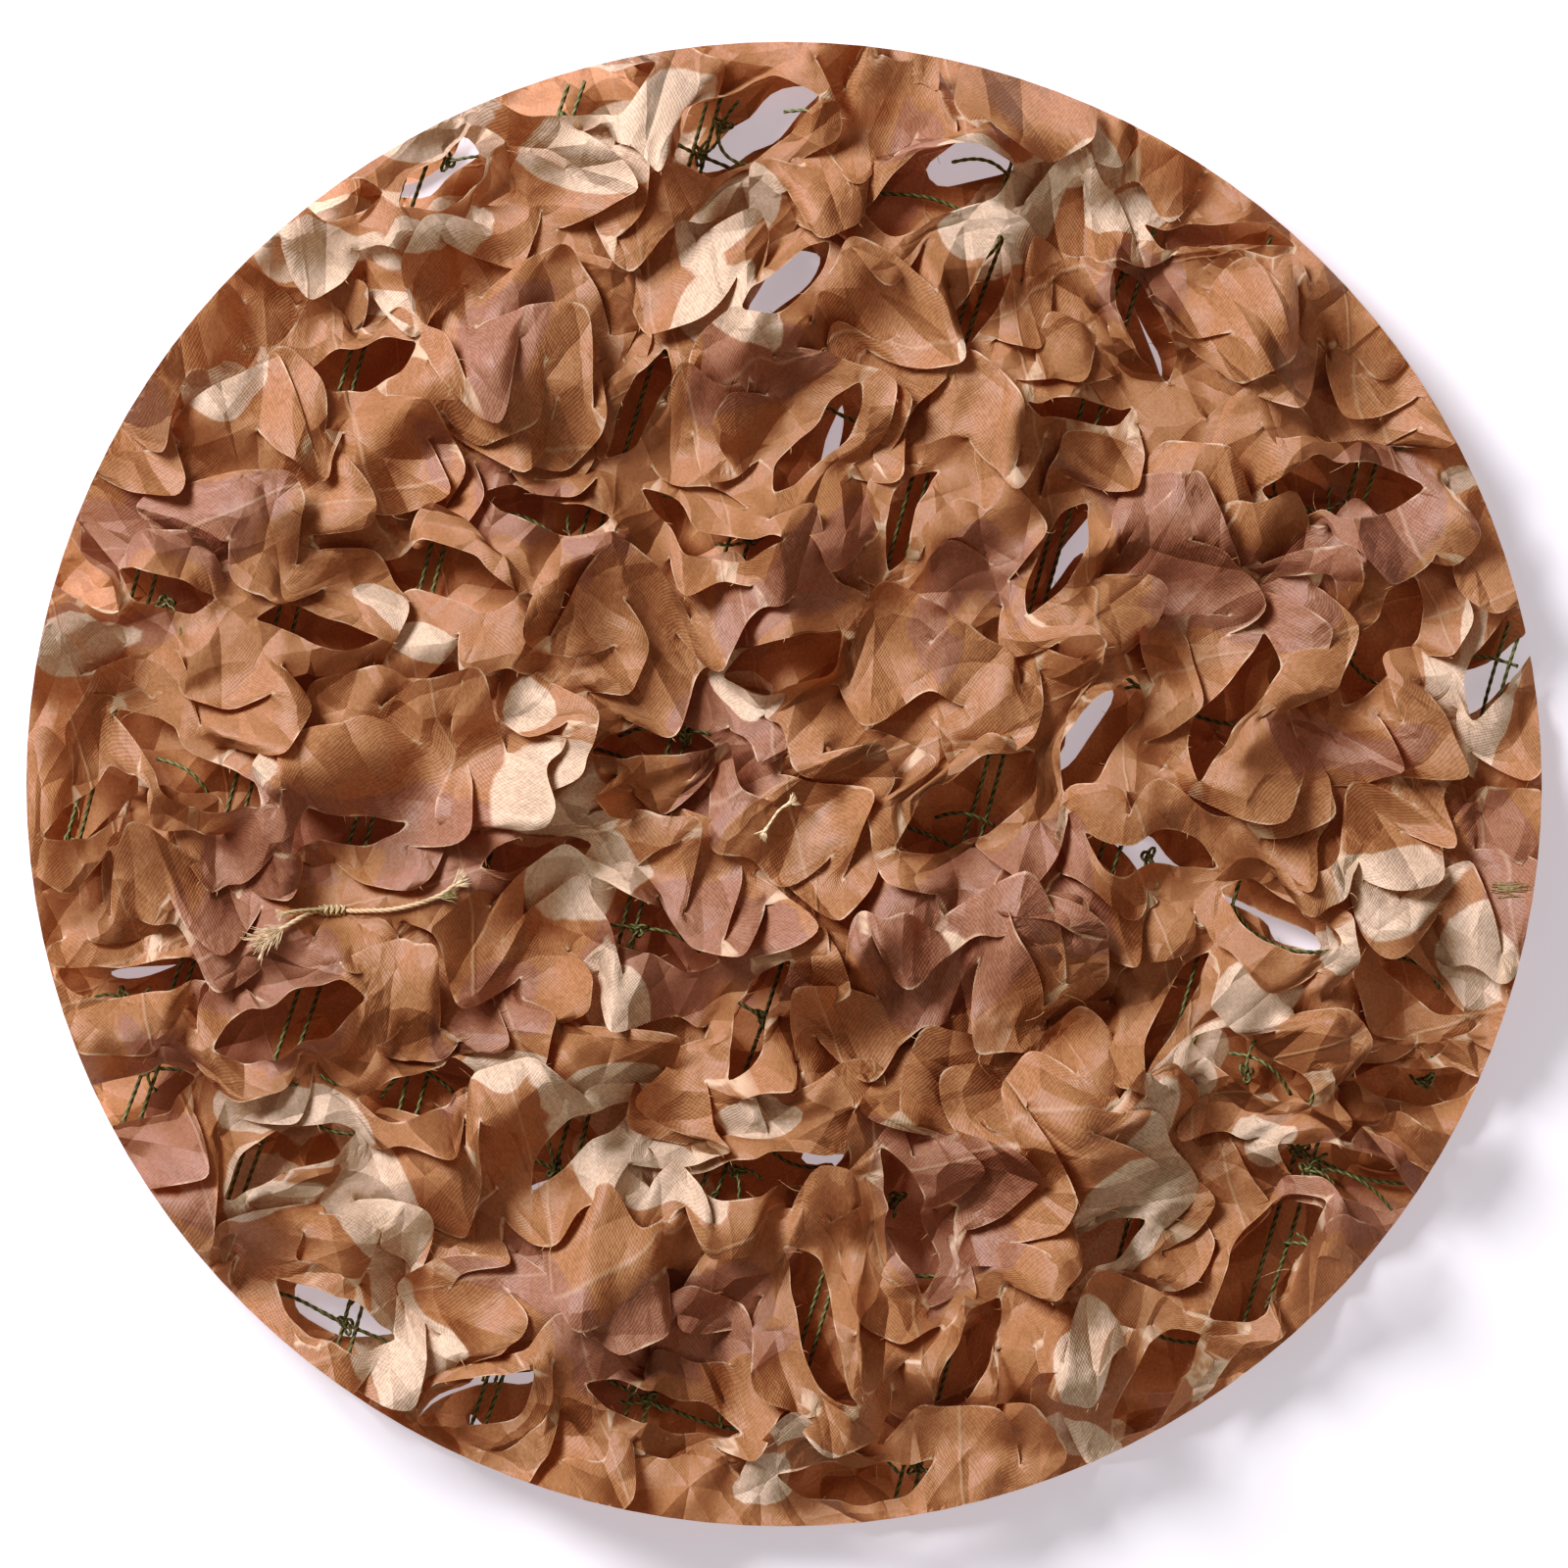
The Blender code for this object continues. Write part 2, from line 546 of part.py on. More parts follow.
def upper_cloth(collection):
    chance = random.Random(SEED)
    plan = open_cuts(TOP_SLITS)
    add_spare_cuts(plan, SPARE_PITCH, chance)
    slits = plan.slits
    cloth, probes = slit_cloth(slits, TOP_PITCH, tie_beds(), chance)
    place = np.array([v.co.to_tuple() for v in cloth.verts])[:, :2]
    move, lift = open_slits(place, probes, slits, LIP_REACH)
    height = TOP_LEVEL + swell(place[:, 0], place[:, 1]) + fold_height(place[:, 0], place[:, 1])
    height = settle_on_knots(place, height, TOP_FLOOR - TOP_SINK, TOP_PULL, slits)
    place = place + move * off_ties(place)[:, None]
    height = soft_limit(press_under_ties(place, height + lift), TOP_FLOOR, TOP_CEILING, TOP_SHOULDER)
    for corner, spot, z in zip(cloth.verts, place, height):
        corner.co = Vector((spot[0], spot[1], z))
    material = make_material("top_cloth", (0.40, 0.20, 0.105), 0.72)
    return finish_sheet(cloth, "upper_cloth", collection, material)


def lower_cloth(collection):
    chance = random.Random(SEED + 1)
    slits = open_cuts(LOW_SLITS).slits
    cloth, probes = slit_cloth(slits, LOW_PITCH, [], chance)
    place = np.array([v.co.to_tuple() for v in cloth.verts])[:, :2]
    move, lift = open_slits(place, probes, slits, LOW_LIP_REACH)
    height = LOW_LEVEL + swell(-place[:, 0], place[:, 1], LOW_SWELL)
    height = settle_on_knots(place, height, LOW_CEILING + TOP_SINK, LOW_PULL, slits)
    height = np.clip(height + LOW_LIFT * lift, 0, LOW_CEILING)
    place = place + move
    for corner, spot, z in zip(cloth.verts, place, height):
        corner.co = Vector((spot[0], spot[1], z))
    material = make_material("under_cloth", (0.30, 0.14, 0.075), 0.75)
    return finish_sheet(cloth, "lower_cloth", collection, material)


def inside_cut(point, margin=0.0):
    return (point[0] / (HALF_LENGTH - margin)) ** 2 + (point[1] / (HALF_WIDTH - margin)) ** 2 <= 1.0


def tube_mesh(route, radius, name):
    """A closed tube of four sides along a route."""
    curve = bpy.data.curves.new(name, "CURVE")
    curve.dimensions = "3D"
    curve.bevel_depth = radius
    curve.bevel_resolution = 0
    curve.use_fill_caps = True
    line = curve.splines.new("POLY")
    line.points.add(len(route) - 1)
    for point, (x, y, z, thickening) in zip(line.points, route):
        point.co = (x, y, z, 1.0)
        point.radius = thickening
    guide = bpy.data.objects.new(name, curve)
    bpy.context.scene.collection.objects.link(guide)
    bpy.context.view_layer.update()
    shape = guide.evaluated_get(bpy.context.evaluated_depsgraph_get())
    mesh = bpy.data.meshes.new_from_object(shape)
    bpy.data.objects.remove(guide, do_unlink=True)
    weld = bmesh.new()
    weld.from_mesh(mesh)
    bmesh.ops.remove_doubles(weld, verts=weld.verts, dist=1e-5)
    weld.to_mesh(mesh)
    weld.free()
    return mesh


def joined_mesh(meshes, name):
    whole = bmesh.new()
    for mesh in meshes:
        whole.from_mesh(mesh)
    joined = bpy.data.meshes.new(name)
    whole.to_mesh(joined)
    whole.free()
    return joined


def main_routes():
    """The two cords of every pair, from edge to edge of the cut."""
    way = np.array([math.cos(math.radians(MAIN_TILT)), math.sin(math.radians(MAIN_TILT))])
    side = np.array([way[1], -way[0]])
    routes = []
    for main in MAINS:
        for half in (-0.5, 0.5):
            steps = MAIN_STEP * np.arange(-4, 5)
            wander = main.sway * MM * np.sin(steps / MAIN_WAVE + main.x)
            spread = half * PAIR_SPACING * (1 + PAIR_SWING * np.cos(steps / PAIR_WAVE + main.x))
            line = (np.array([main.x * MM, 0]) + steps[:, None] * way
                    + (wander + spread)[:, None] * side)
            plain = np.ones((len(line), 1))
            routes.append(clip_route(np.hstack([line, plain]), NET_HEIGHT))
    return [route for route in routes if len(route) > 1]


def clip_route(line, height):
    """The stretch of a route that lies inside the cut, ended on its edge: x, y, z, thickening."""
    route = []
    for start, end in zip(line[:-1], line[1:]):
        in_start = inside_cut(start, NET_MARGIN)
        in_end = inside_cut(end, NET_MARGIN)
        if in_start and not route:
            route.append((start[0], start[1], height, start[2]))
        if in_start != in_end:
            low, high = 0.0, 1.0
            for _ in range(20):
                middle = (low + high) / 2
                if inside_cut(start + middle * (end - start), NET_MARGIN) == in_start:
                    low = middle
                else:
                    high = middle
            edge = start + low * (end - start)
            route.append((edge[0], edge[1], height, edge[2]))
        if in_end:
            route.append((end[0], end[1], height, end[2]))
    return route


def row_routes():
    """The cross cords, slack between the pairs, with a thick knot where each pair is tied in."""
    routes = []
    for row in ROWS:
        knots = [np.array(crossing(main, row)) for main in MAINS]
        knots = [2 * knots[0] - knots[1]] + knots + [2 * knots[-1] - knots[-2]]
        line = []
        for index, (start, end) in enumerate(zip(knots[:-1], knots[1:])):
            length = np.linalg.norm(end - start)
            way = (end - start) / length
            across = np.array([-way[1], way[0]])
            hang = row.slack * MM * (1 if index % 2 else -0.6)
            line.append((*start, KNOT_RADIUS / CORD_RADIUS))
            line.append((*(start + KNOT_LENGTH / 2 * way), 1.0))
            line.append((*((start + end) / 2 + hang * across), 1.0))
            line.append((*(end - KNOT_LENGTH / 2 * way), 1.0))
        line.append((*knots[-1], KNOT_RADIUS / CORD_RADIUS))
        route = clip_route(np.array(line), NET_HEIGHT)
        if len(route) > 1:
            routes.append(route)
    return routes


def mesh_net(collection, guides):
    """Cords and knots as one body."""
    material = make_material("net_cord", (0.045, 0.055, 0.022), 0.8)
    mains = joined_mesh([tube_mesh(route, CORD_RADIUS, "main") for route in main_routes()], "mesh_net")
    net = add_object("mesh_net", mains, collection, material)
    rows = joined_mesh([tube_mesh(route, CORD_RADIUS, "row") for route in row_routes()], "rows")
    tool = bpy.data.objects.new("rows", rows)
    guides.objects.link(tool)
    tool.hide_render = True
    tool.display_type = "WIRE"
    union = net.modifiers.new("rows", "BOOLEAN")
    union.operation = "UNION"
    union.solver = "EXACT"
    union.object = tool
    return net


def tie_knot(collection, material):
    """The lump of the knot, over the pinch."""
    knot = bmesh.new()
    bmesh.ops.create_icosphere(knot, subdivisions=2, radius=0.5)
    for corner in knot.verts:
        ridge = 1 + 0.12 * math.sin(9 * corner.co.x + 2)
        corner.co = Vector([(centre + share * size * ridge) * MM
                            for centre, share, size in zip(TIE_KNOT, corner.co, TIE_KNOT_SIZE)])
    mesh = bpy.data.meshes.new("tie_knot")
    knot.to_mesh(mesh)
    knot.free()
    mesh.shade_smooth()
    add_object("tie_knot", mesh, collection, material)


def ties(collection):
    material = make_material("tie_cotton", (0.56, 0.36, 0.20), 0.85)
    tie_knot(collection, material)
    for name, tail in TIE_TAILS.items():
        curve = bpy.data.curves.new(name, "CURVE")
        curve.dimensions = "3D"
        curve.bevel_depth = TIE_RADIUS
        curve.bevel_resolution = 2
        curve.use_fill_caps = True
        line = curve.splines.new("POLY")
        route = route_points(tail)
        line.points.add(len(route) - 1)
        for point, spot in zip(line.points, route):
            point.co = (*spot, 1.0)
        add_object(name, curve, collection, material)


def main():
    clear_scene()
    collection = bpy.data.collections.new("camouflage_net")
    bpy.context.scene.collection.children.link(collection)
    guides = bpy.data.collections.new("guides")
    bpy.context.scene.collection.children.link(guides)
    lower_cloth(collection)
    mesh_net(collection, guides)
    upper_cloth(collection)
    ties(collection)


main()
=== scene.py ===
import math
import random
from collections import namedtuple

import bmesh
import bpy
import numpy as np
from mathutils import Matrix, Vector, geometry


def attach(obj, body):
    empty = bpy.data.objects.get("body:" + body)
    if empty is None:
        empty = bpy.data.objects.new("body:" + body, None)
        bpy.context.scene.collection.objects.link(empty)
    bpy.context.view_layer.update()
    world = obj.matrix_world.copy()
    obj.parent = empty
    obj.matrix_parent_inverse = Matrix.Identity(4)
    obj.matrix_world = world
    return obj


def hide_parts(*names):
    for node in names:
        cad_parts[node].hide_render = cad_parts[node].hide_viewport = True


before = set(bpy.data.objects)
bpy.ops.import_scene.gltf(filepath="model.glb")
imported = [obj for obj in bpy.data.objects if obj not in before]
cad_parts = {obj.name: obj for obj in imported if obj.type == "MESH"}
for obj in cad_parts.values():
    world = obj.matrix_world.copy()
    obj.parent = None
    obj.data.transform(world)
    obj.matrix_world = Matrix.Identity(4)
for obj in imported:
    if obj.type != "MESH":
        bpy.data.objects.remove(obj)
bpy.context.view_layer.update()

mm = 0.001
Slit = namedtuple("Slit", "x y run gap tilt form over twist", defaults=(0, 1, 0.0))
Fold = namedtuple("Fold", "x0 y0 x1 y1 rise width")
Wave = namedtuple("Wave", "length direction phase rise")
Main = namedtuple("Main", "x sway")
Row = namedtuple("Row", "y slack")
Spot = namedtuple("Spot", "x y z")
Patch = namedtuple("Patch", "x y length width tilt")
Strand = namedtuple("Strand", "x0 y0 x1 y1 bulge rise")
Tuft = namedtuple("Tuft", "count length width")
Crease = namedtuple("Crease", "alongX alongY pitch width")
Grain = namedtuple("Grain", "scale detail rough warp", defaults=(0.0,))
Thread = namedtuple("Thread", "least most curl outward")

# the round cut and the mesh of cord between the sheets; mains and rows are in mm
net = {
    "halfLength": 270 * mm, "halfWidth": 264.5 * mm, "trimSides": 120, "margin": 3 * mm, "knotLimit": 0.93,
    "cordHeight": 14 * mm, "cordRadius": 0.7 * mm, "knotRadius": 1.35 * mm, "cordLay": 3.4 * mm,
    "mainTilt": 73.2, "rowTilt": -14.0, "pairSpacing": 5.6 * mm, "sag": 0.5 * mm, "sagRate": 0.11,
    "anyTurn": (0, 6), "mainStep": 80 * mm, "mainSteps": 4, "fineStep": 3 * mm,
    "mainWave": 60 * mm, "pairWave": 38 * mm, "pairSwing": 0.25, "rowDrop": (-0.3, 0.6),
    "backHang": 0.6, "slackRadius": 0.95, "slackLift": 0.6 * mm, "layerGap": 0.3 * mm,
    "mains": [Main(-248, 2), Main(-196, -3), Main(-149, 3), Main(-98, -2), Main(-40, 3),
              Main(18, -3), Main(71, 2), Main(121, 3), Main(172, -2), Main(224, 2)],
    "rows": [Row(232, 5), Row(158, -6), Row(85, 7), Row(8, -6), Row(-65, 7), Row(-142, -6),
             Row(-217, 5)],
}
seeds = {
    "ties": 11, "upper": 7, "upperSpare": 27, "lower": 8, "upperThreads": 31, "lowerThreads": 32,
    "rim": 41, "net": 5,
}
topFloor = net["cordHeight"] + net["knotRadius"] + net["layerGap"]


def roundShare(x, y, margin=0.0):
    # 0 in the middle of the round cut, 1 on its rim
    return (x / (net["halfLength"] - margin)) ** 2 + (y / (net["halfWidth"] - margin)) ** 2


def headings(tilt):
    # the ways along and across a line that leans by so many degrees
    angle = math.radians(tilt)
    return np.array([math.cos(angle), math.sin(angle)]), np.array([-math.sin(angle), math.cos(angle)])


def sideways(start, end):
    way = end - start
    return np.array([-way[1], way[0]]) / np.linalg.norm(way)


def addObject(name, data):
    item = bpy.data.objects.new(name, data)
    bpy.context.scene.collection.objects.link(item)
    return item


def smoothRoute(spots, perSpan):
    # a smooth curve through the points of a table, with some points to each span
    knots = np.array(spots, dtype=float)
    points = []
    for index in range(len(knots) - 1):
        before, start = knots[max(index - 1, 0)], knots[index]
        end, after = knots[index + 1], knots[min(index + 2, len(knots) - 1)]
        for step in range(perSpan):
            share = step / perSpan
            bend = (2 * start + (end - before) * share
                    + (2 * before - 5 * start + 4 * end - after) * share ** 2
                    + (3 * start - before - 3 * end + after) * share ** 3)
            points.append(bend / 2)
    points.append(knots[-1])
    return np.array(points)


def evenRoute(points, step):
    # the same curve with points at an even spacing
    points = np.asarray(points, dtype=float)
    gaps = np.linalg.norm(np.diff(points, axis=0), axis=1)
    travel = np.concatenate([[0], np.cumsum(gaps)])
    count = max(2, int(round(travel[-1] / step)))
    marks = np.linspace(0, travel[-1], count + 1)
    return np.stack([np.interp(marks, travel, points[:, axis]) for axis in range(3)], axis=1)


class Strings:
    # gathers twisted strings, each a closed tube of a few plies, into one mesh
    def __init__(self, name):
        self.name = name
        self.points, self.faces, self.ply = [], [], []

    def add(self, route, radius, plies=2, lay=3.0 * mm, sides=6, depth=0.2, step=1.2 * mm,
            taper=None, turn=0.0):
        # plies twisted once in each lay; the taper is a table of places and widths
        line = evenRoute(route, step)
        count = len(line)
        along = np.gradient(line, axis=0)
        along /= np.linalg.norm(along, axis=1)[:, None] + 1e-12
        side = np.cross(along[0], (0.13, 0.21, 0.97))
        first = len(self.points)
        travel = 0.0
        for index in range(count):
            side = side - along[index] * np.dot(side, along[index])
            side = side / (np.linalg.norm(side) + 1e-12)
            other = np.cross(along[index], side)
            if index:
                travel += np.linalg.norm(line[index] - line[index - 1])
            width = radius
            if taper is not None:
                width *= max(0.05, np.interp(index / (count - 1), *taper))
            phase = turn + math.tau * travel / lay / plies
            for corner in range(sides):
                angle = math.tau * corner / sides
                lobe = math.cos(plies * (angle - phase))
                reach = width * (1 + depth * lobe)
                self.points.append(line[index] + reach * (math.cos(angle) * side + math.sin(angle) * other))
                # 1 where a ply stands out most, 0 where it sinks; with several plies the material paints
                # shade in these grooves
                self.ply.append(0.5 + 0.5 * lobe)
        for index in range(count - 1):
            base = first + index * sides
            for corner in range(sides):
                after = (corner + 1) % sides
                self.faces.append((base + corner, base + after, base + sides + after, base + sides + corner))
        self.faces.append(tuple(first + corner for corner in reversed(range(sides))))
        self.faces.append(tuple(first + (count - 1) * sides + corner for corner in range(sides)))

    def addCurve(self, points, perSpan, radius, **tube):
        self.add(smoothRoute(points, perSpan), radius, **tube)

    def build(self, material):
        mesh = bpy.data.meshes.new(self.name)
        mesh.from_pydata([tuple(p) for p in self.points], [], self.faces)
        layer = mesh.attributes.new("ply", "FLOAT", "POINT")
        layer.data.foreach_set("value", self.ply)
        mesh.shade_smooth()
        mesh.materials.append(material)
        return addObject(self.name, mesh)


class Wire:
    # a socket that can be used in sums
    def __init__(self, finish, socket):
        self.finish, self.socket = finish, socket

    def math(self, operation, *others, first=None):
        values = ([self] if first is None else [first, self]) + list(others)
        return self.finish.node("ShaderNodeMath", {"operation": operation}, dict(enumerate(values)))

    def __add__(self, other):
        return self.math("ADD", other)

    def __sub__(self, other):
        return self.math("SUBTRACT", other)

    def __mul__(self, other):
        return self.math("MULTIPLY", other)

    def __truediv__(self, other):
        return self.math("DIVIDE", other)

    def __rsub__(self, other):
        return self.math("SUBTRACT", first=other)

    def __rtruediv__(self, other):
        return self.math("DIVIDE", first=other)

    __radd__ = __add__
    __rmul__ = __mul__

    def step(self, low, high):
        # 0 below low, 1 above high, smooth between
        return self.finish.node("ShaderNodeMapRange", {"interpolation_type": "SMOOTHSTEP"},
                                {"Value": self, "From Min": low, "From Max": high})


class Finish:
    # the node tree of one material
    def __init__(self, name):
        self.material = bpy.data.materials.new(name)
        self.material.use_nodes = True
        self.tree = self.material.node_tree
        self.shader = self.tree.nodes["Principled BSDF"]
        self.output = self.tree.nodes["Material Output"]

    def node(self, kind, settings=None, sockets=None, out=0):
        item = self.tree.nodes.new(kind)
        for key, value in (settings or {}).items():
            setattr(item, key, value)
        for key, value in (sockets or {}).items():
            if isinstance(value, Wire):
                self.tree.links.new(value.socket, item.inputs[key])
            else:
                item.inputs[key].default_value = value
        return Wire(self, item.outputs[out])

    def attribute(self, name, out="Fac"):
        return self.node("ShaderNodeAttribute", {"attribute_name": name}, out=out)

    def noise(self, place, scale, detail=2.0, rough=0.5, warp=0.0, size="2D"):
        sockets = {"Vector": place, "Scale": scale, "Detail": detail, "Roughness": rough, "Distortion": warp}
        return self.node("ShaderNodeTexNoise", {"noise_dimensions": size}, sockets)

    def mix(self, share, first, second, blend="MIX"):
        first = first if isinstance(first, Wire) else (*first, 1.0)
        second = second if isinstance(second, Wire) else (*second, 1.0)
        return self.node("ShaderNodeMix", {"data_type": "RGBA", "blend_type": blend},
                         {0: share, 6: first, 7: second}, out=2)

    def link(self, wire, target):
        self.tree.links.new(wire.socket, self.shader.inputs[target])

    def bump(self, height, distance, strength=1.0):
        return self.node("ShaderNodeBump", {}, {"Height": height, "Distance": distance, "Strength": strength})


# camera straight above with a long lens; the frame is a little wider than the round cut
view = {
    "lens": 200.0, "sensor": 36.0, "framePixels": 1600, "cutPixels": 1546, "height": 20 * mm, "farthest": 20,
}
frameWidth = view["framePixels"] / view["cutPixels"] * 2 * net["halfLength"]
cameraDistance = frameWidth * view["lens"] / view["sensor"]
cameraPlace = Vector((0, 0, cameraDistance + view["height"]))


def makeCamera():
    data = bpy.data.cameras.new("camera")
    data.lens, data.sensor_width = view["lens"], view["sensor"]
    data.clip_end = view["farthest"]
    camera = addObject("camera", data)
    camera.location = cameraPlace
    bpy.context.scene.camera = camera


# tones below the pivot are deepened, by one exponent for each curve: red, green, blue and all three
tone = {"pivot": 0.2, "toes": (1.0, 1.07, 1.16, 1.24), "steps": (0.01, 0.02, 0.04, 0.07, 0.11, 0.15),
        "bounces": {"max_bounces": 5, "diffuse_bounces": 4, "transmission_bounces": 3}}


def setTone():
    # deeper and warmer shadows, and no more bounces of light than show
    settings = bpy.context.scene.view_settings
    settings.view_transform = "Standard"
    settings.use_curve_mapping = True
    for curve, toe in zip(settings.curve_mapping.curves, tone["toes"]):
        for step in (*tone["steps"], tone["pivot"]):
            curve.points.new(step, tone["pivot"] * (step / tone["pivot"]) ** toe)
        for point in curve.points:
            point.handle_type = "VECTOR"
    settings.curve_mapping.update()
    for name, count in tone["bounces"].items():
        setattr(bpy.context.scene.cycles, name, count)


makeCamera()
setTone()
print("camera ready")

# the tan ties: routes in mm, from the knot outwards
tie = {
    "radius": 0.85 * mm, "tailWidth": 0.94, "wrapWidth": 0.8, "splitWidth": 0.5, "core": (-6, 0, 6),
    "knot": Spot(-161, -45, 20.6), "wraps": 4.5, "wrapLength": 9 * mm, "wrapRadius": 1.35 * mm,
    "wrapSteps": 80, "wrapSwell": (0.8, 0.35, 0.12), "wrapBeat": 9, "wrapWander": 0.5 * mm,
    "tails": {
        "tie_tail_right": [Spot(-155.8, -45.1, 21.2), Spot(-151.5, -45.2, 24.6), Spot(-147, -45, 27.6),
                           Spot(-141, -44.8, 29.4), Spot(-134, -43.6, 29.8), Spot(-127, -41.6, 29.2),
                           Spot(-120.5, -38.6, 28.6), Spot(-115, -34, 28.4)],
        "tie_tail_left": [Spot(-162.5, -45, 20.8), Spot(-165.9, -45.2, 21.2), Spot(-169.6, -46.2, 24.4),
                          Spot(-173, -48.2, 27.4), Spot(-177.4, -50.8, 29.2), Spot(-182.6, -54, 29.6),
                          Spot(-188.4, -57.8, 29)],
        "tie_end": [Spot(-7, -17, 28.2), Spot(-4.6, -13.4, 29.6), Spot(-1.6, -9.2, 30),
                    Spot(2.4, -6.6, 29.4)],
    },
    "press": 9 * mm, "nearest": 1.5 * mm, "bedGap": 0.5 * mm, "bedSlope": 0.05, "heldGap": 0.6 * mm,
    "shortEnd": [Spot(-163, -44.6, 21.6), Spot(-168, -44.8, 24), Spot(-173, -45.2, 27),
                 Spot(-177.6, -46, 29)],
    "splitEnd": [Spot(-129, -41.8, 29.6), Spot(-125.4, -41, 29.6), Spot(-121.6, -40.4, 29.4)],
    # shade and knotShade are the strings' dark colours: painted shade in the grooves between the plies, and
    # darker random patches
    "colour": (0.84, 0.64, 0.43), "shade": (0.48, 0.30, 0.17), "tuftColour": (0.92, 0.76, 0.53),
    "knotColour": (0.74, 0.56, 0.34), "knotShade": (0.26, 0.18, 0.09), "greenTuft": (0.70, 0.62, 0.38),
    "tube": {"lay": 2.6 * mm, "step": 0.7 * mm}, "knotTube": {"plies": 3, "sides": 10, "depth": 0.14},
    "tailTube": {"plies": 3, "sides": 12, "depth": 0.16},
    "splitTube": {"plies": 2, "sides": 8, "depth": 0.16},
    "tailTaper": ((0, 0.04, 0.9, 1), (0.9, 1, 1, 0.8)), "endTaper": ((0, 0.2, 0.8, 1), (1, 0.55, 0.55, 1)),
    "rightTuft": Tuft(44, 7, 3.4), "endTuft": Tuft(40, 3.4, 2.6), "shortTuft": Tuft(36, 4, 2.6),
    "splitTuft": Tuft(40, 7, 3.2),
    "leftTufts": ((0.72, Tuft(34, 8, 5.0)), (0.8, Tuft(34, 8, 6.0)), (0.88, Tuft(34, 8, 6.5))),
    "rimTuft": Spot(252, -37, 200), "rimThreads": 20, "rimSpread": 1.3, "rimStarts": (-1, 3),
    "rimLengths": (7, 12), "rimBend": 1.6, "rimLift": 0.5, "rimStack": 0.03,
}
# a loose fibre: where it starts, how it strays from the string's way, and how it thins out
fibre = {
    "radius": 0.17 * mm, "root": 0.6 * mm, "stray": 0.4, "lift": 0.35, "shortest": 0.55, "bend": 0.25,
    "marks": (0.0, 0.3, 0.65, 1.0), "rimMarks": (0, 0.35, 0.7, 1.0), "rimRadius": 0.15 * mm,
    "tube": {"plies": 1, "sides": 4, "depth": 0.0, "step": 1.0 * mm, "taper": ((0, 0.8, 1), (1, 0.8, 0.3))},
}
tieRoutes = {name: smoothRoute(tail, 4) * mm for name, tail in tie["tails"].items()}


# the strings' fuzz and uneven colour, and painted shade in the grooves between their plies
stringLook = {
    "fuzzScale": 900, "patchScale": 70, "fuzz": 0.45, "patch": 0.35, "shift": 0.15, "edges": (0.15, 0.95),
    "roughLoss": 0.15, "fuzzRise": 0.4, "plyRise": 0.6, "relief": 0.3 * mm, "bump": 0.7,
}


def stringMaterial(name, light, dark, spread=0.5, roughness=0.85):
    look = stringLook
    finish = Finish(name)
    ply = finish.attribute("ply")
    place = finish.node("ShaderNodeTexCoord", out="Object")
    fuzz = finish.noise(place, look["fuzzScale"], 2, 0.6, size="3D")
    patchy = finish.noise(place, look["patchScale"], 1, 0.5, size="3D")
    # painted shade: where a string has several plies, the dark colour lies in the grooves between them;
    # random fuzz and patches darken it too
    share = (ply * spread + fuzz * look["fuzz"] + patchy * look["patch"] - look["shift"]).step(*look["edges"])
    finish.link(finish.mix(share, dark, light), "Base Color")
    finish.link(roughness - fuzz * look["roughLoss"], "Roughness")
    height = fuzz * look["fuzzRise"] + ply * look["plyRise"]
    finish.link(finish.bump(height, look["relief"], look["bump"]), "Normal")
    return finish.material


def addTuft(strings, route, tuft, chance):
    # a brush of loose fibres that carries on from the end of a route
    root = np.array(route[-1])
    way = root - np.array(route[-4])
    way /= np.linalg.norm(way)
    across = np.cross(way, (0, 0, 1))
    across /= np.linalg.norm(across) + 1e-9
    over = np.cross(across, way)
    length, width = tuft.length * mm, tuft.width * mm
    for _ in range(tuft.count):
        swing, rise = chance.uniform(-1, 1) * width, (chance.uniform(-0.5, 1) + fibre["lift"]) * width * 0.5
        reach = length * chance.uniform(fibre["shortest"], 1.0)
        bend = chance.uniform(-fibre["bend"], fibre["bend"])
        stray = chance.uniform(-fibre["stray"], fibre["stray"]) * mm
        start = root - fibre["root"] * way + stray * across
        line = [start + share * reach * way + (swing * share + bend * width * share ** 2) * across
                + rise * share * over for share in fibre["marks"]]
        strings.addCurve(line, 3, fibre["radius"], **fibre["tube"])


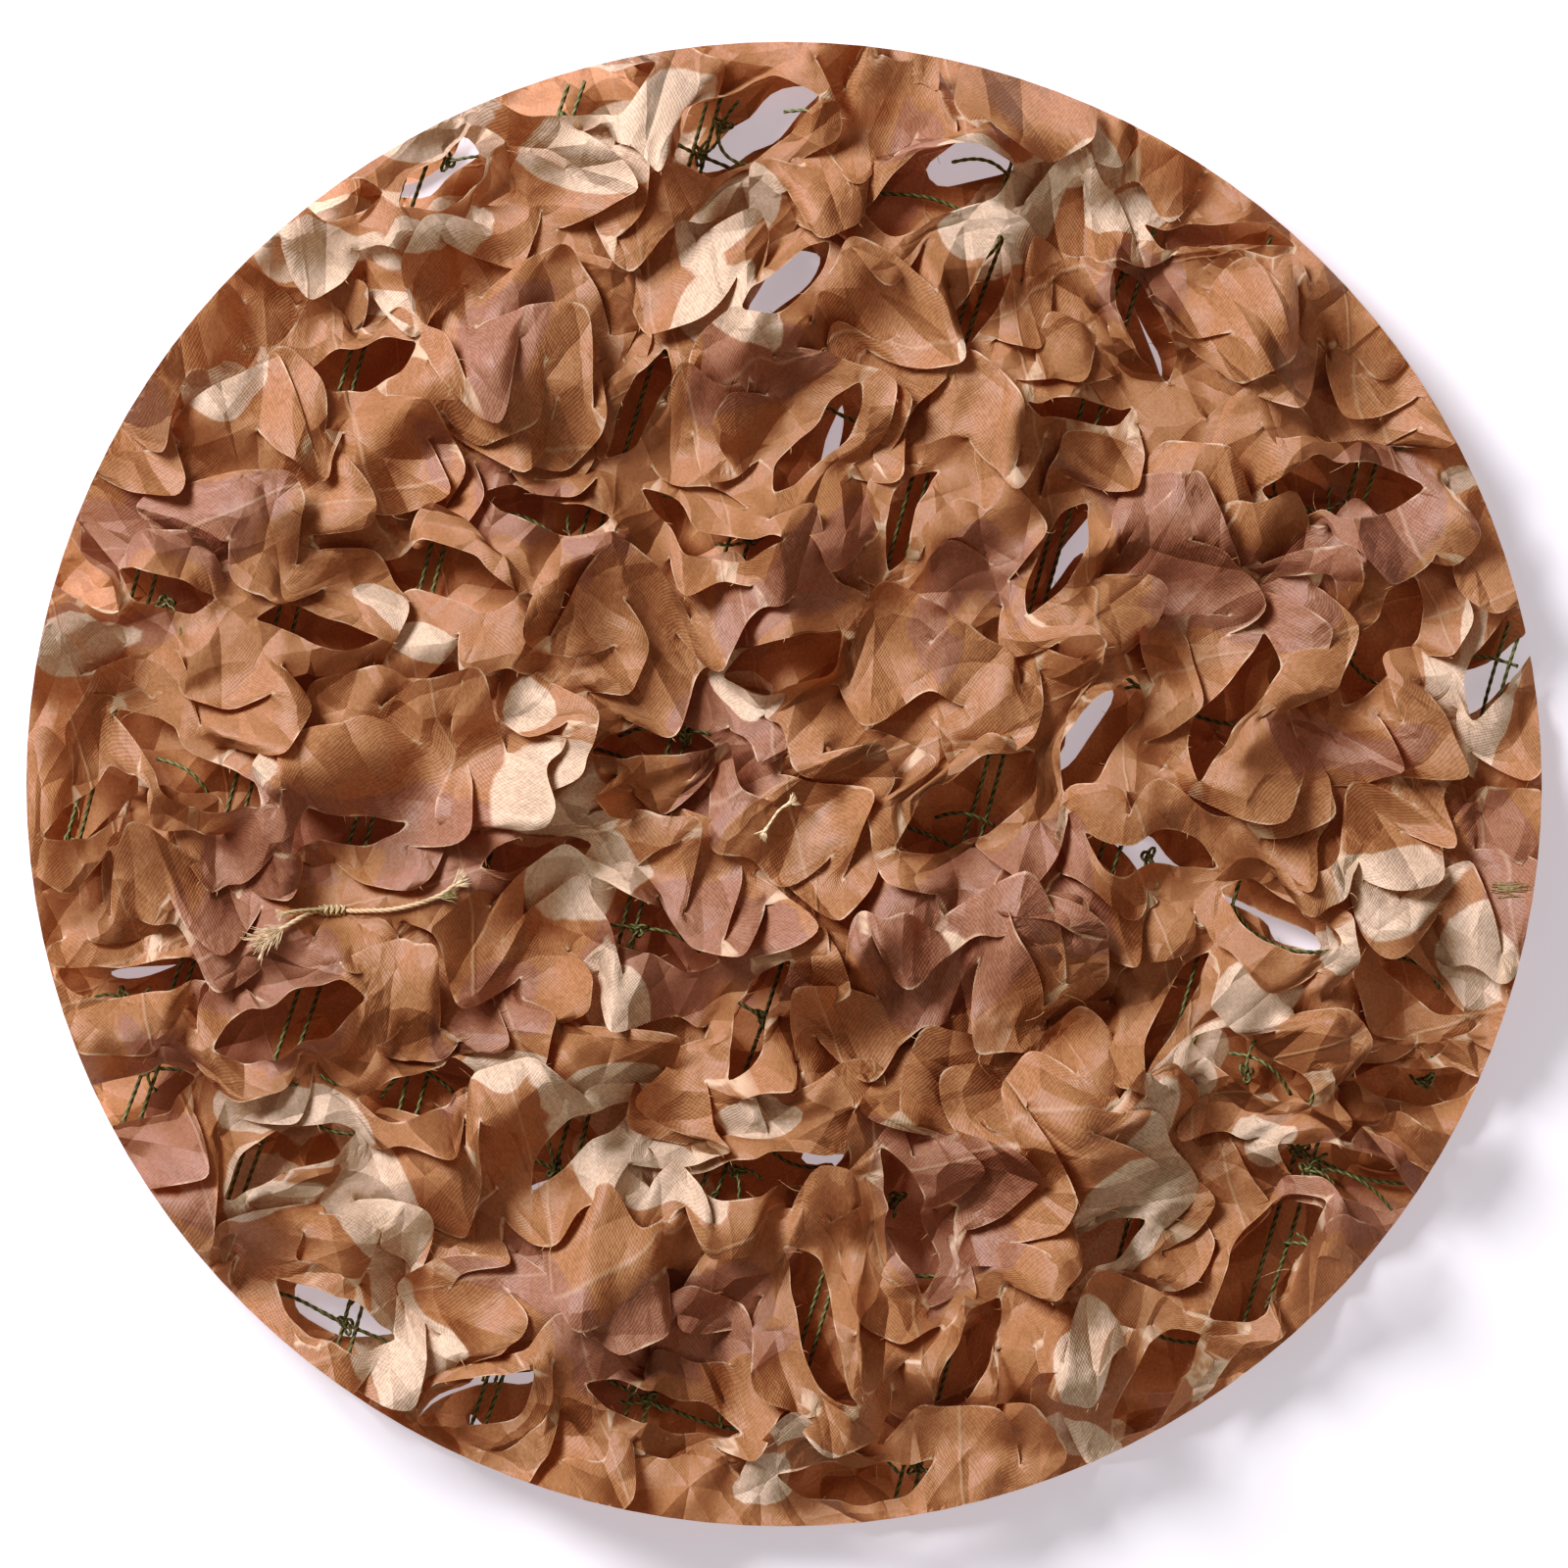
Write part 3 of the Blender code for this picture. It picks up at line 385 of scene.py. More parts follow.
def makeTies():
    chance = random.Random(seeds["ties"])
    material = stringMaterial("tieString", tie["colour"], tie["shade"])
    pale = stringMaterial("tieTuft", tie["tuftColour"], tie["colour"], 0.3)
    knotted = stringMaterial("tieKnot", tie["knotColour"], tie["knotShade"])
    pieces = {}
    for name, route in tieRoutes.items():
        strings = Strings(name.replace("tie_", "string_"))
        taper = tie["endTaper" if name == "tie_end" else "tailTaper"]
        strings.add(route, tie["radius"] * tie["tailWidth"], taper=taper, **tie["tube"], **tie["tailTube"])
        pieces[name] = strings.build(pale if name == "tie_end" else material)
        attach(pieces[name], "root")
        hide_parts(name)
    right, left, end = tieRoutes["tie_tail_right"], tieRoutes["tie_tail_left"], tieRoutes["tie_end"]
    short, split = smoothRoute(tie["shortEnd"], 4) * mm, smoothRoute(tie["splitEnd"], 4) * mm
    tufts = Strings("string_tufts")
    addTuft(tufts, right[:-2], tie["rightTuft"], chance)
    for share, tuft in tie["leftTufts"]:
        addTuft(tufts, left[:int(share * len(left))], tuft, chance)
    addTuft(tufts, end, tie["endTuft"], chance)
    addTuft(tufts, end[::-1], tie["endTuft"], chance)
    addTuft(tufts, short, tie["shortTuft"], chance)
    tuftPiece = tufts.build(pale)
    green = Strings("string_split")
    green.add(split, tie["radius"] * tie["splitWidth"], **tie["tube"], **tie["splitTube"])
    addTuft(green, split, tie["splitTuft"], chance)
    greenPiece = green.build(stringMaterial("tieGreen", tie["greenTuft"], tie["knotShade"], 0.3))

    # the knot: turns of string round a short core, and the end that it hides
    knot = Strings("string_knot")
    centre = np.array(tie["knot"]) * mm
    share = np.linspace(0, 1, tie["wrapSteps"] + 1)
    angle = math.tau * tie["wraps"] * share
    least, swell, uneven = tie["wrapSwell"]
    swelling = least + swell * np.sin(math.pi * share) + uneven * np.sin(tie["wrapBeat"] * share)
    reach = tie["wrapRadius"] * swelling
    lay = centre[0] + (share - 0.5) * tie["wrapLength"] + tie["wrapWander"] * np.sin(2 * angle)
    turns = np.stack([lay, centre[1] + reach * np.cos(angle), centre[2] + reach * np.sin(angle)], axis=1)
    core = [centre + np.array((x, 0, 0)) * mm for x in tie["core"]]
    for line, width in ((turns, tie["wrapWidth"]), (core, 1.0), (short, tie["wrapWidth"])):
        knot.add(line, tie["radius"] * width, **tie["tube"], **tie["knotTube"])
    knotPiece = knot.build(knotted)
    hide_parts("tie_knot")
    for piece in (tuftPiece, greenPiece, knotPiece):
        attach(piece, "root")
    for name in ("tie_tail_right", "tie_tail_left"):
        route = tieRoutes[name]
        length = float(np.sum(np.linalg.norm(np.diff(route, axis=0), axis=1)))
        tuple(route[0])
        [tuple(p) for p in route]


makeTies()
print("ties ready")

# the cuts of the sheets: each runs past the stretch that stands open, and spare ones fill the cloth between
cuts = {
    "overrun": 1.45, "shortest": 40 * mm, "longest": 56 * mm, "clearance": 4 * mm, "knotClearance": 5 * mm,
    "shares": (1.0, 0.85, 0.7, 0.55), "sparePitch": 19 * mm, "spareRun": 46 * mm, "spareLaps": (12, 22),
    "smallShares": (1.0, 0.8, 0.65), "smallPitch": 18 * mm, "smallRun": 38 * mm, "smallLaps": (8, 14),
    "spareTilts": (-40, 65), "spareSwings": (0, 30, -30, 60, -60),
    "spareForms": (0, 0, 2, 2, 2, 2, 2, 3, 3, 3),
    "strayX": 0.17, "strayY": 0.2, "rowShare": 0.8, "coverLap": 0.4, "overShare": 0.66, "keepOpen": 17 * mm,
    "rimMargin": 26 * mm, "mapMargin": 60 * mm, "planStep": 2 * mm, "markStep": 1.5 * mm,
    "spareLimit": 0.98, "lineLimit": 0.97, "clothLimit": 0.985,     # 1 is the rim
    "depths": (0.12, 0.17, 0.34, 0.2), "openDepth": 0.5, "openGap": 1.15, "lowGap": 0.62, "lipReach": 16 * mm,
    "raisedShare": 0.62, "lipRise": 0.4, "lipDrop": 0.12, "lapRise": 0.7, "lapDrop": 0.38, "endFall": 1.9,
    "curls": (0.7, -0.5, 0.2, -0.9), "lean": 0.6, "arcRise": 1.5, "arcTop": 1.1,
    "cornerShift": 0.35, "cornerRound": 0.06, "tongueSlope": 2.6, "tongueLean": 0.25, "twistRate": 2.4,
}
# middle, run, gap and tilt of each cut that stands open, in mm and degrees
topSlits = [Slit(*row) for row in (
    (-15, 233, 40, 26, 30), (56, 213, 52, 24, 15), (0, 179, 26, 14, 35), (127, 163, 32, 14, -65),
    (156, 197, 38, 9, -12), (-150, 148, 28, 15, 10), (-84, 100, 32, 14, -10), (-121, 73, 42, 20, -12),
    (0, 45, 32, 18, 25), (-46, 13, 32, 11, 5), (19, -3, 38, 28, 5), (68, -5, 40, 26, 35),
    (-158, -16, 28, 11, 20), (-210, 4, 40, 18, -25), (-177, -86, 38, 24, 15), (-46, -52, 36, 21, -25),
    (-130, -109, 32, 16, 8), (-7, -135, 48, 15, 5), (-89, -27, 42, 14, 10), (40, -156, 36, 14, -75),
    (13, -189, 38, 16, -60), (63, -199, 30, 14, 50), (-44, -220, 46, 16, -12), (174, -48, 30, 17, -30),
    (154, 29, 38, 15, 70), (197, 107, 50, 21, 2), (210, 52, 38, 20, 60), (111, 19, 34, 18, 60),
    (131, -24, 34, 12, -15), (165, -101, 36, 16, -35), (225, -104, 32, 15, 0), (201, -138, 42, 19, -22),
    (171, -172, 40, 24, 40), (133, -213, 32, 17, 50), (108, -169, 28, 16, 40), (25, -248, 48, 16, 3),
    (-110, -219, 32, 18, 25), (-158, -184, 28, 16, -30), (-176, -133, 36, 17, 20), (-230, -114, 32, 17, 25),
    (-231, -67, 36, 14, -10), (-245, -2, 32, 14, 30), (-252, 78, 32, 17, -45), (-118, 218, 32, 19, 25),
    (-156, 210, 25, 12, 10), (-75, 245, 42, 20, 10), (-26, 94, 40, 13, -25), (-53, 136, 32, 12, 62),
    (70, 174, 32, 12, 72), (99, 81, 30, 14, 62), (7, 122, 30, 14, 60), (-222, 68, 28, 12, -10),
    (-168, 54, 30, 10, -12), (-74, -130, 30, 11, 40), (256, 45, 30, 18, 60), (227, -67, 26, 10, -40),
    (-11, -82, 32, 12, 70), (105, 136, 24, 7, -5), (47, 94, 26, 11, 62), (142, -78, 24, 9, 60),
)]
lowSlits = [Slit(*row) for row in (
    (-8, 233, 44, 24, 35), (0, 180, 30, 14, 35), (-127, 219, 30, 10, 30), (126, 164, 28, 12, -70),
    (196, 143, 30, 12, -65), (100, 82, 32, 13, 60), (60, 34, 34, 9, -10), (107, 20, 28, 10, 60),
    (133, -26, 32, 12, -20), (175, -50, 36, 17, -30), (253, 40, 34, 15, 55), (-158, -184, 36, 18, -30),
    (-109, -218, 36, 17, 25), (-94, -244, 34, 12, -20), (20, -132, 30, 10, 15), (31, -18, 26, 8, 80),
    (-103, 124, 28, 7, 10), (12, 118, 30, 10, 60), (-105, 28, 28, 8, -10), (-60, 60, 30, 6, 15),
    (-200, 20, 32, 7, -20), (-190, 120, 30, 7, 15), (-220, -60, 30, 7, 10), (-60, -80, 32, 7, -15),
    (60, -90, 30, 7, 20), (120, -130, 30, 7, -15), (70, -190, 30, 7, 15), (-30, -180, 32, 7, -10),
    (-100, -150, 30, 7, 20), (190, -120, 30, 7, 15), (60, 130, 30, 7, -15), (140, 100, 30, 7, 20),
    (70, 225, 30, 7, 10), (-70, 190, 30, 7, -20), (170, 20, 30, 7, 10),
)]
# ends, rise and half width of the main folds, in mm
topFolds = [Fold(*row) for row in (
    (-159, 108, -196, 132, 6, 9), (-159, 108, -200, 96, 5, 9), (-159, 108, -128, 136, 6, 9),
    (-159, 108, -124, 84, 5, 8), (88, 172, 98, 130, -5, 10), (172, 192, 134, 132, -6, 12),
    (92, 73, 158, 106, 5, 7), (49, 62, 122, 96, 4, 7), (-40, 152, -66, 108, 5, 9), (-66, 24, -80, 70, 6, 9),
    (150, -2, 172, 24, 5, 9), (196, 10, 232, 24, -4, 11), (24, -60, 58, -36, 6, 9),
    (66, -70, 96, -98, -5, 11), (100, -128, 134, -150, 6, 10), (-52, -168, -84, -186, 6, 9),
    (-142, -150, -108, -178, -5, 10), (-22, -112, 22, -100, 5, 8), (-102, -70, -72, -104, 5, 8),
    (-196, -30, -166, -62, -4, 9), (20, 206, 34, 160, 6, 10), (-96, 176, -60, 168, 5, 9),
    (112, 218, 146, 226, 5, 9), (-188, 178, -160, 184, -4, 9), (188, -70, 206, -104, 5, 9),
    (-196, -106, -222, -84, 4, 9),
)]
# long pleats over the whole sheet: length in mm, direction in degrees, phase and rise in mm
pleats = [Wave(94, 24, 0.1, 8.5), Wave(76, 112, 0.35, 7.0), Wave(52, 68, 0.7, 4.2), Wave(58, 158, 0.2, 3.6)]
folding = {"sway": 0.22, "swayRate": 2.1, "swayPhase": 9, "foldRise": 1.4, "foldWidth": 1.6}


def cutDepth(slit):
    return cuts["depths"][slit.form] * slit.run * (cuts["openDepth"] if slit.gap > 0 else 1)


def cutOffset(slit, along, turn):
    # sideways swing of a cut: a gentle S, an arc, a corner or a square tongue
    part = np.clip(2 * along / slit.run, -1, 1)
    if slit.form == 0:
        wave = np.sin(math.pi * part)
    elif slit.form == 1:
        wave = np.clip(cuts["arcRise"] * (1 - part ** 2), 0, cuts["arcTop"])
    elif slit.form == 2:
        peak, soft = cuts["cornerShift"] * slit.twist, cuts["cornerRound"]
        fall = np.where(part > peak, (part - peak) / (1 - peak), (peak - part) / (1 + peak))
        wave = 1 + soft - np.hypot(soft, fall)
    else:
        lean = 1 + cuts["tongueLean"] * slit.twist * part
        wave = np.clip(cuts["tongueSlope"] * (1 - np.abs(part)), 0, 1) * lean
    return turn * cutDepth(slit) * wave


def slitLine(slit, turn, step):
    alongWay, acrossWay = headings(slit.tilt)
    count = max(4, round(slit.run / step))
    along = (np.arange(count + 1) / count - 0.5) * slit.run
    across = cutOffset(slit, along, turn)
    return np.array([slit.x, slit.y]) + along[:, None] * alongWay + across[:, None] * acrossWay


class CutPlan:
    # the cuts of a sheet, none nearer to another, or to a tie, than the cloth left between
    def __init__(self):
        self.slits = []
        self.cell, self.border = 1 * mm, 20
        self.half = int((net["halfLength"] + cuts["mapMargin"]) / self.cell)
        self.taken = np.zeros((2 * self.half, 2 * self.half), dtype=bool)
        reach = int(cuts["clearance"] / self.cell)
        span = np.arange(-reach, reach + 1)
        self.disc = np.array([(i, j) for i in span for j in span if i * i + j * j <= reach * reach])
        for tail in tie["tails"].values():
            self.mark(smoothRoute(tail, 4)[:, :2] * mm)

    def covers(self, slit):
        # whether the tip of its lapped lip would lie on a cut that stands open
        reach = cutDepth(slit) + 0.5 * abs(slit.gap)
        tip = np.array([slit.x, slit.y]) - slit.over * headings(slit.tilt)[1] * reach
        away = [math.hypot(tip[0] - other.x, tip[1] - other.y) for other, _ in self.slits if other.gap > 0]
        return min(away) < cuts["keepOpen"]

    def cells(self, line):
        spots = np.rint(line / self.cell).astype(int) + self.half
        return np.clip(spots, self.border, 2 * self.half - self.border)

    def mark(self, line):
        spots = (self.cells(line)[:, None] + self.disc[None]).reshape(-1, 2)
        self.taken[spots[:, 0], spots[:, 1]] = True

    def add(self, slit, turn, shares):
        for share in shares:
            trial = slit._replace(run=slit.run * share)
            line = slitLine(trial, turn, cuts["planStep"])
            spots = self.cells(line)
            if not self.taken[spots[:, 0], spots[:, 1]].any():
                self.slits.append((trial, turn))
                self.mark(line)
                return True
        return False


def openCuts(table, widen):
    # the cuts of a table, whose forms, upper lips and twists take turns
    plan = CutPlan()
    for index, row in enumerate(table):
        run = min(max(row.run * mm * cuts["overrun"], cuts["shortest"]), cuts["longest"])
        over = 1 if index % 5 < 3 else -1
        gap = row.gap * mm * widen
        twist = math.sin(cuts["twistRate"] * index)
        slit = Slit(row.x * mm, row.y * mm, run, gap, row.tilt, index % 4, over, twist)
        plan.add(slit, -over if index % 4 or index % 8 else over, cuts["shares"])
    return plan


def scatter(rows, columns, pitch, rowHeight, strayX, strayY, chance):
    # places on a grid whose rows are shifted by turns, each a little off its own
    for row in range(-rows, rows + 1):
        for column in range(-columns, columns + 1):
            yield ((column + 0.5 * (row % 2) + chance.uniform(-strayX, strayX)) * pitch,
                   (rowHeight * row + chance.uniform(-strayY, strayY)) * pitch)


def addSpareCuts(plan, spacing, run, chance, laps, shares):
    # nearly closed cuts wherever they fit, their lips lapped
    reach = int(net["halfLength"] / spacing) + 2
    for x, y in scatter(reach, reach, spacing, cuts["rowShare"], cuts["strayX"], cuts["strayY"], chance):
        tilt = chance.uniform(*cuts["spareTilts"])
        lap = chance.uniform(*laps) * mm
        over = 1 if chance.random() < cuts["overShare"] else -1
        if roundShare(x, y) > cuts["spareLimit"]:
            continue
        form, twist = chance.choice(cuts["spareForms"]), chance.uniform(-1, 1)
        turn = -over if form or chance.random() < 0.5 else over
        slit = Slit(x, y, run, -lap, tilt, form, over, twist)
        if plan.covers(slit):
            slit = slit._replace(gap=-cuts["coverLap"] * lap)
        for swing in cuts["spareSwings"]:
            if plan.add(slit._replace(tilt=tilt + swing), turn, shares):
                break


def zigzag(travel):
    # sharp waves between -1 and 1
    return 4 * np.abs(travel - np.floor(travel + 0.5)) - 1


def pleatHeight(x, y, share=1.0):
    # straight pressed folds that cross the sheet
    total = np.zeros_like(x)
    for wave in pleats:
        way, side = headings(wave.direction)
        along = (x * way[0] + y * way[1]) / (wave.length * mm)
        across = (x * side[0] + y * side[1]) / (wave.length * mm)
        sway = folding["sway"] * np.sin(folding["swayRate"] * across + folding["swayPhase"] * wave.phase)
        total += share * wave.rise * mm * zigzag(along + wave.phase + sway)
    return total


def foldHeight(x, y):
    total = np.zeros_like(x)
    for fold in topFolds:
        start = np.array([fold.x0, fold.y0]) * mm
        way = np.array([fold.x1, fold.y1]) * mm - start
        length = np.linalg.norm(way)
        way = way / length
        along = (x - start[0]) * way[0] + (y - start[1]) * way[1]
        across = -(x - start[0]) * way[1] + (y - start[1]) * way[0]
        beyond = np.maximum(np.maximum(-along, along - length), 0)
        fall = np.hypot(across, beyond) / (folding["foldWidth"] * fold.width * mm)
        total += folding["foldRise"] * fold.rise * mm * np.maximum(0, 1 - fall)
    return total


def softLimit(height, low, high, blend):
    lifted = low + blend * np.logaddexp(0, (height - low) / blend)
    return high - blend * np.logaddexp(0, (high - lifted) / blend)


def lipShare(slit, along, across):
    # 1 at the tip of a lip, falling along flat facets to 0 at its root and at the ends of the cut
    swell = cutDepth(slit)
    towards = 1 - (across + swell) / (cuts["lipReach"] + swell)
    fromEnd = cuts["endFall"] * (1 - np.abs(2 * along / slit.run))
    return np.clip(np.minimum(towards, fromEnd), 0, 1)


def openSlits(place, probes, slits):
    # the lips of every cut: apart or lapped in plan, one lip over the other
    move, rise, sink = np.zeros_like(place), np.zeros(len(place)), np.zeros(len(place))
    for slit, turn in slits:
        alongWay, acrossWay = headings(slit.tilt)
        middle = np.array([slit.x, slit.y])
        along, across = (place - middle) @ alongWay, (place - middle) @ acrossWay
        probeAlong = (probes - middle) @ alongWay
        side = np.sign((probes - middle) @ acrossWay - cutOffset(slit, probeAlong, turn))
        share = lipShare(slit, along, side * across)
        raised = side == slit.over
        part = np.where(raised, cuts["raisedShare"], 1 - cuts["raisedShare"])
        move += (side * part * slit.gap * share)[:, None] * acrossWay[None]
        curl = cuts["curls"][slit.form]
        lean = 1 + cuts["lean"] * slit.twist * np.clip(2 * along / slit.run, -1, 1)
        curve = (share + curl * (share ** 2 - share)) * lean
        up, down = (cuts["lipRise"], cuts["lipDrop"]) if slit.gap > 0 else (cuts["lapRise"], cuts["lapDrop"])
        rise = np.maximum(rise, raised * up * abs(slit.gap) * curve)
        sink = np.maximum(sink, ~raised * down * abs(slit.gap) * share)
    return move, rise - sink


def crossing(main, row):
    # where a main cord and a row of cross cords meet
    mainWay, rowWay = headings(net["mainTilt"])[0], headings(net["rowTilt"])[0]
    spread = mainWay[0] * rowWay[1] - mainWay[1] * rowWay[0]
    alongPair = (row.y * mm * rowWay[0] - main.x * mm * rowWay[1]) / spread
    return np.array([main.x * mm + alongPair * mainWay[0], alongPair * mainWay[1]])


def knotPoints():
    points = [crossing(main, row) for main in net["mains"] for row in net["rows"]]
    return [point for point in points if roundShare(*point) < net["knotLimit"]]


def clearKnots(slits):
    # the knots that no cut comes near, where the mesh holds the sheet
    lines = np.vstack([slitLine(slit, turn, cuts["planStep"]) for slit, turn in slits])
    return [knot for knot in knotPoints() if np.min(np.hypot(*(lines - knot).T)) > cuts["knotClearance"]]


# spacing of the corners, as shares of a sheet's pitch
corners = {"alongCut": 0.8, "fromCut": 0.75, "fromTie": 0.5, "stray": 0.12, "rowHeight": 0.866, "probe": 0.2}


def flatCloth(slits, pitch, beds, chance):
    # the cloth as a triangulated disc with the edges of every cut in it, and corners under the ties
    radiusX, radiusY = net["halfLength"] + cuts["rimMargin"], net["halfWidth"] + cuts["rimMargin"]
    rimCount = int(math.tau * radiusX / pitch)
    angles = math.tau * np.arange(rimCount) / rimCount
    points = [(radiusX * math.cos(a), radiusY * math.sin(a)) for a in angles]
    edges = [(i, (i + 1) % rimCount) for i in range(rimCount)]
    firstCut = len(edges)
    for slit, turn in slits:
        line = slitLine(slit, turn, corners["alongCut"] * pitch)
        line = [p for p in line if roundShare(*p, -cuts["rimMargin"]) < cuts["lineLimit"]]
        start = len(points)
        points.extend((float(p[0]), float(p[1])) for p in line)
        edges.extend((start + i, start + i + 1) for i in range(len(line) - 1))
    for x, y in beds:
        if min(math.hypot(x - px, y - py) for px, py in points) > corners["fromTie"] * pitch:
            points.append((x, y))
    fixed = np.array(points)
    stray, rowHeight = corners["stray"], corners["rowHeight"]
    rows, columns = int(radiusY / (pitch * rowHeight)) + 1, int(radiusX / pitch) + 1
    for x, y in scatter(rows, columns, pitch, rowHeight, stray, stray, chance):
        if roundShare(x, y, -cuts["rimMargin"]) > cuts["clothLimit"]:
            continue
        if np.min(np.abs(fixed[:, 0] - x) + np.abs(fixed[:, 1] - y)) >= corners["fromCut"] * pitch:
            points.append((x, y))
    found = geometry.delaunay_2d_cdt([Vector(p) for p in points], edges, [], 0, 1e-6)
    flat, lines, faces, _, lineSource, _ = found
    cutEdges = {tuple(sorted(line)) for line, source in zip(lines, lineSource)
                if any(number >= firstCut for number in source)}
    return [(p.x, p.y) for p in flat], faces, cutEdges


def slitCloth(slits, pitch, beds, chance):
    # the flat cloth opened along its cuts, and a point just inside it for each corner
    flat, faces, cutEdges = flatCloth(slits, pitch, beds, chance)
    cloth = bmesh.new()
    points = [cloth.verts.new((x, y, 0)) for x, y in flat]
    for face in faces:
        cloth.faces.new([points[i] for i in face])
    bmesh.ops.recalc_face_normals(cloth, faces=cloth.faces)
    if sum(face.normal.z for face in cloth.faces) < 0:
        bmesh.ops.reverse_faces(cloth, faces=cloth.faces)
    cloth.verts.index_update()
    split = [e for e in cloth.edges if tuple(sorted(v.index for v in e.verts)) in cutEdges]
    bmesh.ops.split_edges(cloth, edges=split)
    cloth.verts.ensure_lookup_table()
    probes = []
    for corner in cloth.verts:
        middle = Vector((0, 0, 0))
        for face in corner.link_faces:
            middle += face.calc_center_median() / len(corner.link_faces)
        probes.append(corner.co.lerp(middle, corners["probe"]))
    return cloth, np.array([p.to_tuple() for p in probes])[:, :2]


# where the print is pale, and where it is mauve: middle, length, width in mm, tilt in degrees
palePatches = [Patch(*row) for row in (
    (-122, 232, 48, 20, 8), (-124, 197, 42, 24, 15), (-167, 191, 42, 26, 20), (-140, 173, 30, 14, 10),
    (-200, 138, 26, 20, -30), (-62, 228, 66, 30, 12), (-22, 202, 42, 26, 30), (-16, 167, 40, 26, -25),
    (75, 202, 42, 34, 40), (59, 161, 12, 10, 0), (105, 223, 32, 30, 20), (126, 204, 34, 10, 5),
    (241, 107, 14, 12, 0), (-247, 49, 40, 22, 20), (-149, 61, 24, 10, -30), (-128, 51, 26, 14, -18),
    (-107, 43, 24, 14, -20), (-91, 32, 20, 16, -50), (-87, 1, 44, 38, 10), (-178, 3, 20, 16, 0),
    (-74, -41, 38, 36, 15), (-60, -75, 30, 30, 0), (-13, 35, 22, 16, 0), (243, 45, 20, 68, 0),
    (219, -31, 40, 34, 20), (243, -61, 26, 26, 0), (194, -59, 12, 18, 0), (167, -74, 30, 26, 20),
    (-178, -116, 60, 20, -5), (-147, -151, 30, 46, 10), (-184, -144, 36, 28, 0), (-100, -106, 28, 24, 0),
    (-137, -197, 36, 42, 10), (-67, -114, 30, 24, 10), (-54, -136, 58, 28, -12), (-6, -120, 28, 22, 0),
    (8, -234, 24, 14, 20), (-8, -252, 22, 16, 0), (146, -97, 28, 26, 20), (171, -123, 20, 24, 0),
    (126, -134, 22, 46, -15), (114, -156, 26, 50, -20), (109, -200, 24, 22, 0), (150, -211, 20, 26, 0),
    (108, -234, 28, 14, 0),
)]
mauvePatches = [Patch(*row) for row in (
    (-208, 92, 64, 46, 10), (-126, -14, 62, 46, -20), (-20, 10, 36, 40, 20), (-236, 54, 34, 14, 10),
    (-170, -10, 50, 40, 30), (-30, -60, 56, 40, 30), (66, 76, 60, 44, 30), (146, 68, 60, 40, -20),
    (92, -36, 56, 44, 20), (-92, 166, 60, 34, 20), (40, 216, 46, 30, 40), (132, 176, 50, 38, -40),
    (64, -140, 80, 50, 30), (-60, -190, 64, 46, -30), (-200, -70, 44, 50, 10), (252, -42, 22, 50, 0),
    (204, 84, 40, 34, 20), (60, -66, 50, 40, -20), (140, -240, 40, 30, 20), (-90, 96, 60, 26, -30),
    (186, 20, 40, 50, 20), (-110, -84, 50, 30, 60), (10, 84, 60, 30, 50), (-14, -184, 50, 34, 20),
    (204, -150, 50, 36, -30), (-216, -130, 40, 30, 20), (-10, 150, 40, 26, 40),
)]


def patchField(flat, table):
    # above 0 inside a patch, below 0 outside, about 1 in its middle
    best = np.full(len(flat), -1.5)
    for patch in table:
        way, side = headings(patch.tilt)
        x, y = flat[:, 0] / mm - patch.x, flat[:, 1] / mm - patch.y
        along = (x * way[0] + y * way[1]) / (patch.length / 2)
        across = (x * side[0] + y * side[1]) / (patch.width / 2)
        best = np.maximum(best, 1 - np.hypot(along, across))
    return best


def markCloth(mesh, flat, gather, slits):
    # what the cloth's material reads: its place before it was gathered, cut edges, print
    lines = np.vstack([slitLine(slit, turn, cuts["markStep"]) for slit, turn in slits])
    nearest = np.full(len(flat), 1.0)
    for block in np.array_split(lines, max(1, len(lines) // 200)):
        away = np.hypot(flat[:, None, 0] - block[None, :, 0], flat[:, None, 1] - block[None, :, 1])
        nearest = np.minimum(nearest, np.min(away, axis=1))
    place = mesh.attributes.new("clothPlace", "FLOAT_VECTOR", "POINT")
    spots = np.zeros((len(flat), 3))
    spots[:, :2] = flat * gather
    place.data.foreach_set("vector", spots.ravel())
    for name, values in (("edgeDistance", nearest * gather / mm),
                         ("palePrint", patchField(flat, palePatches)),
                         ("mauvePrint", patchField(flat, mauvePatches))):
        mesh.attributes.new(name, "FLOAT", "POINT").data.foreach_set("value", values.astype(np.float32))


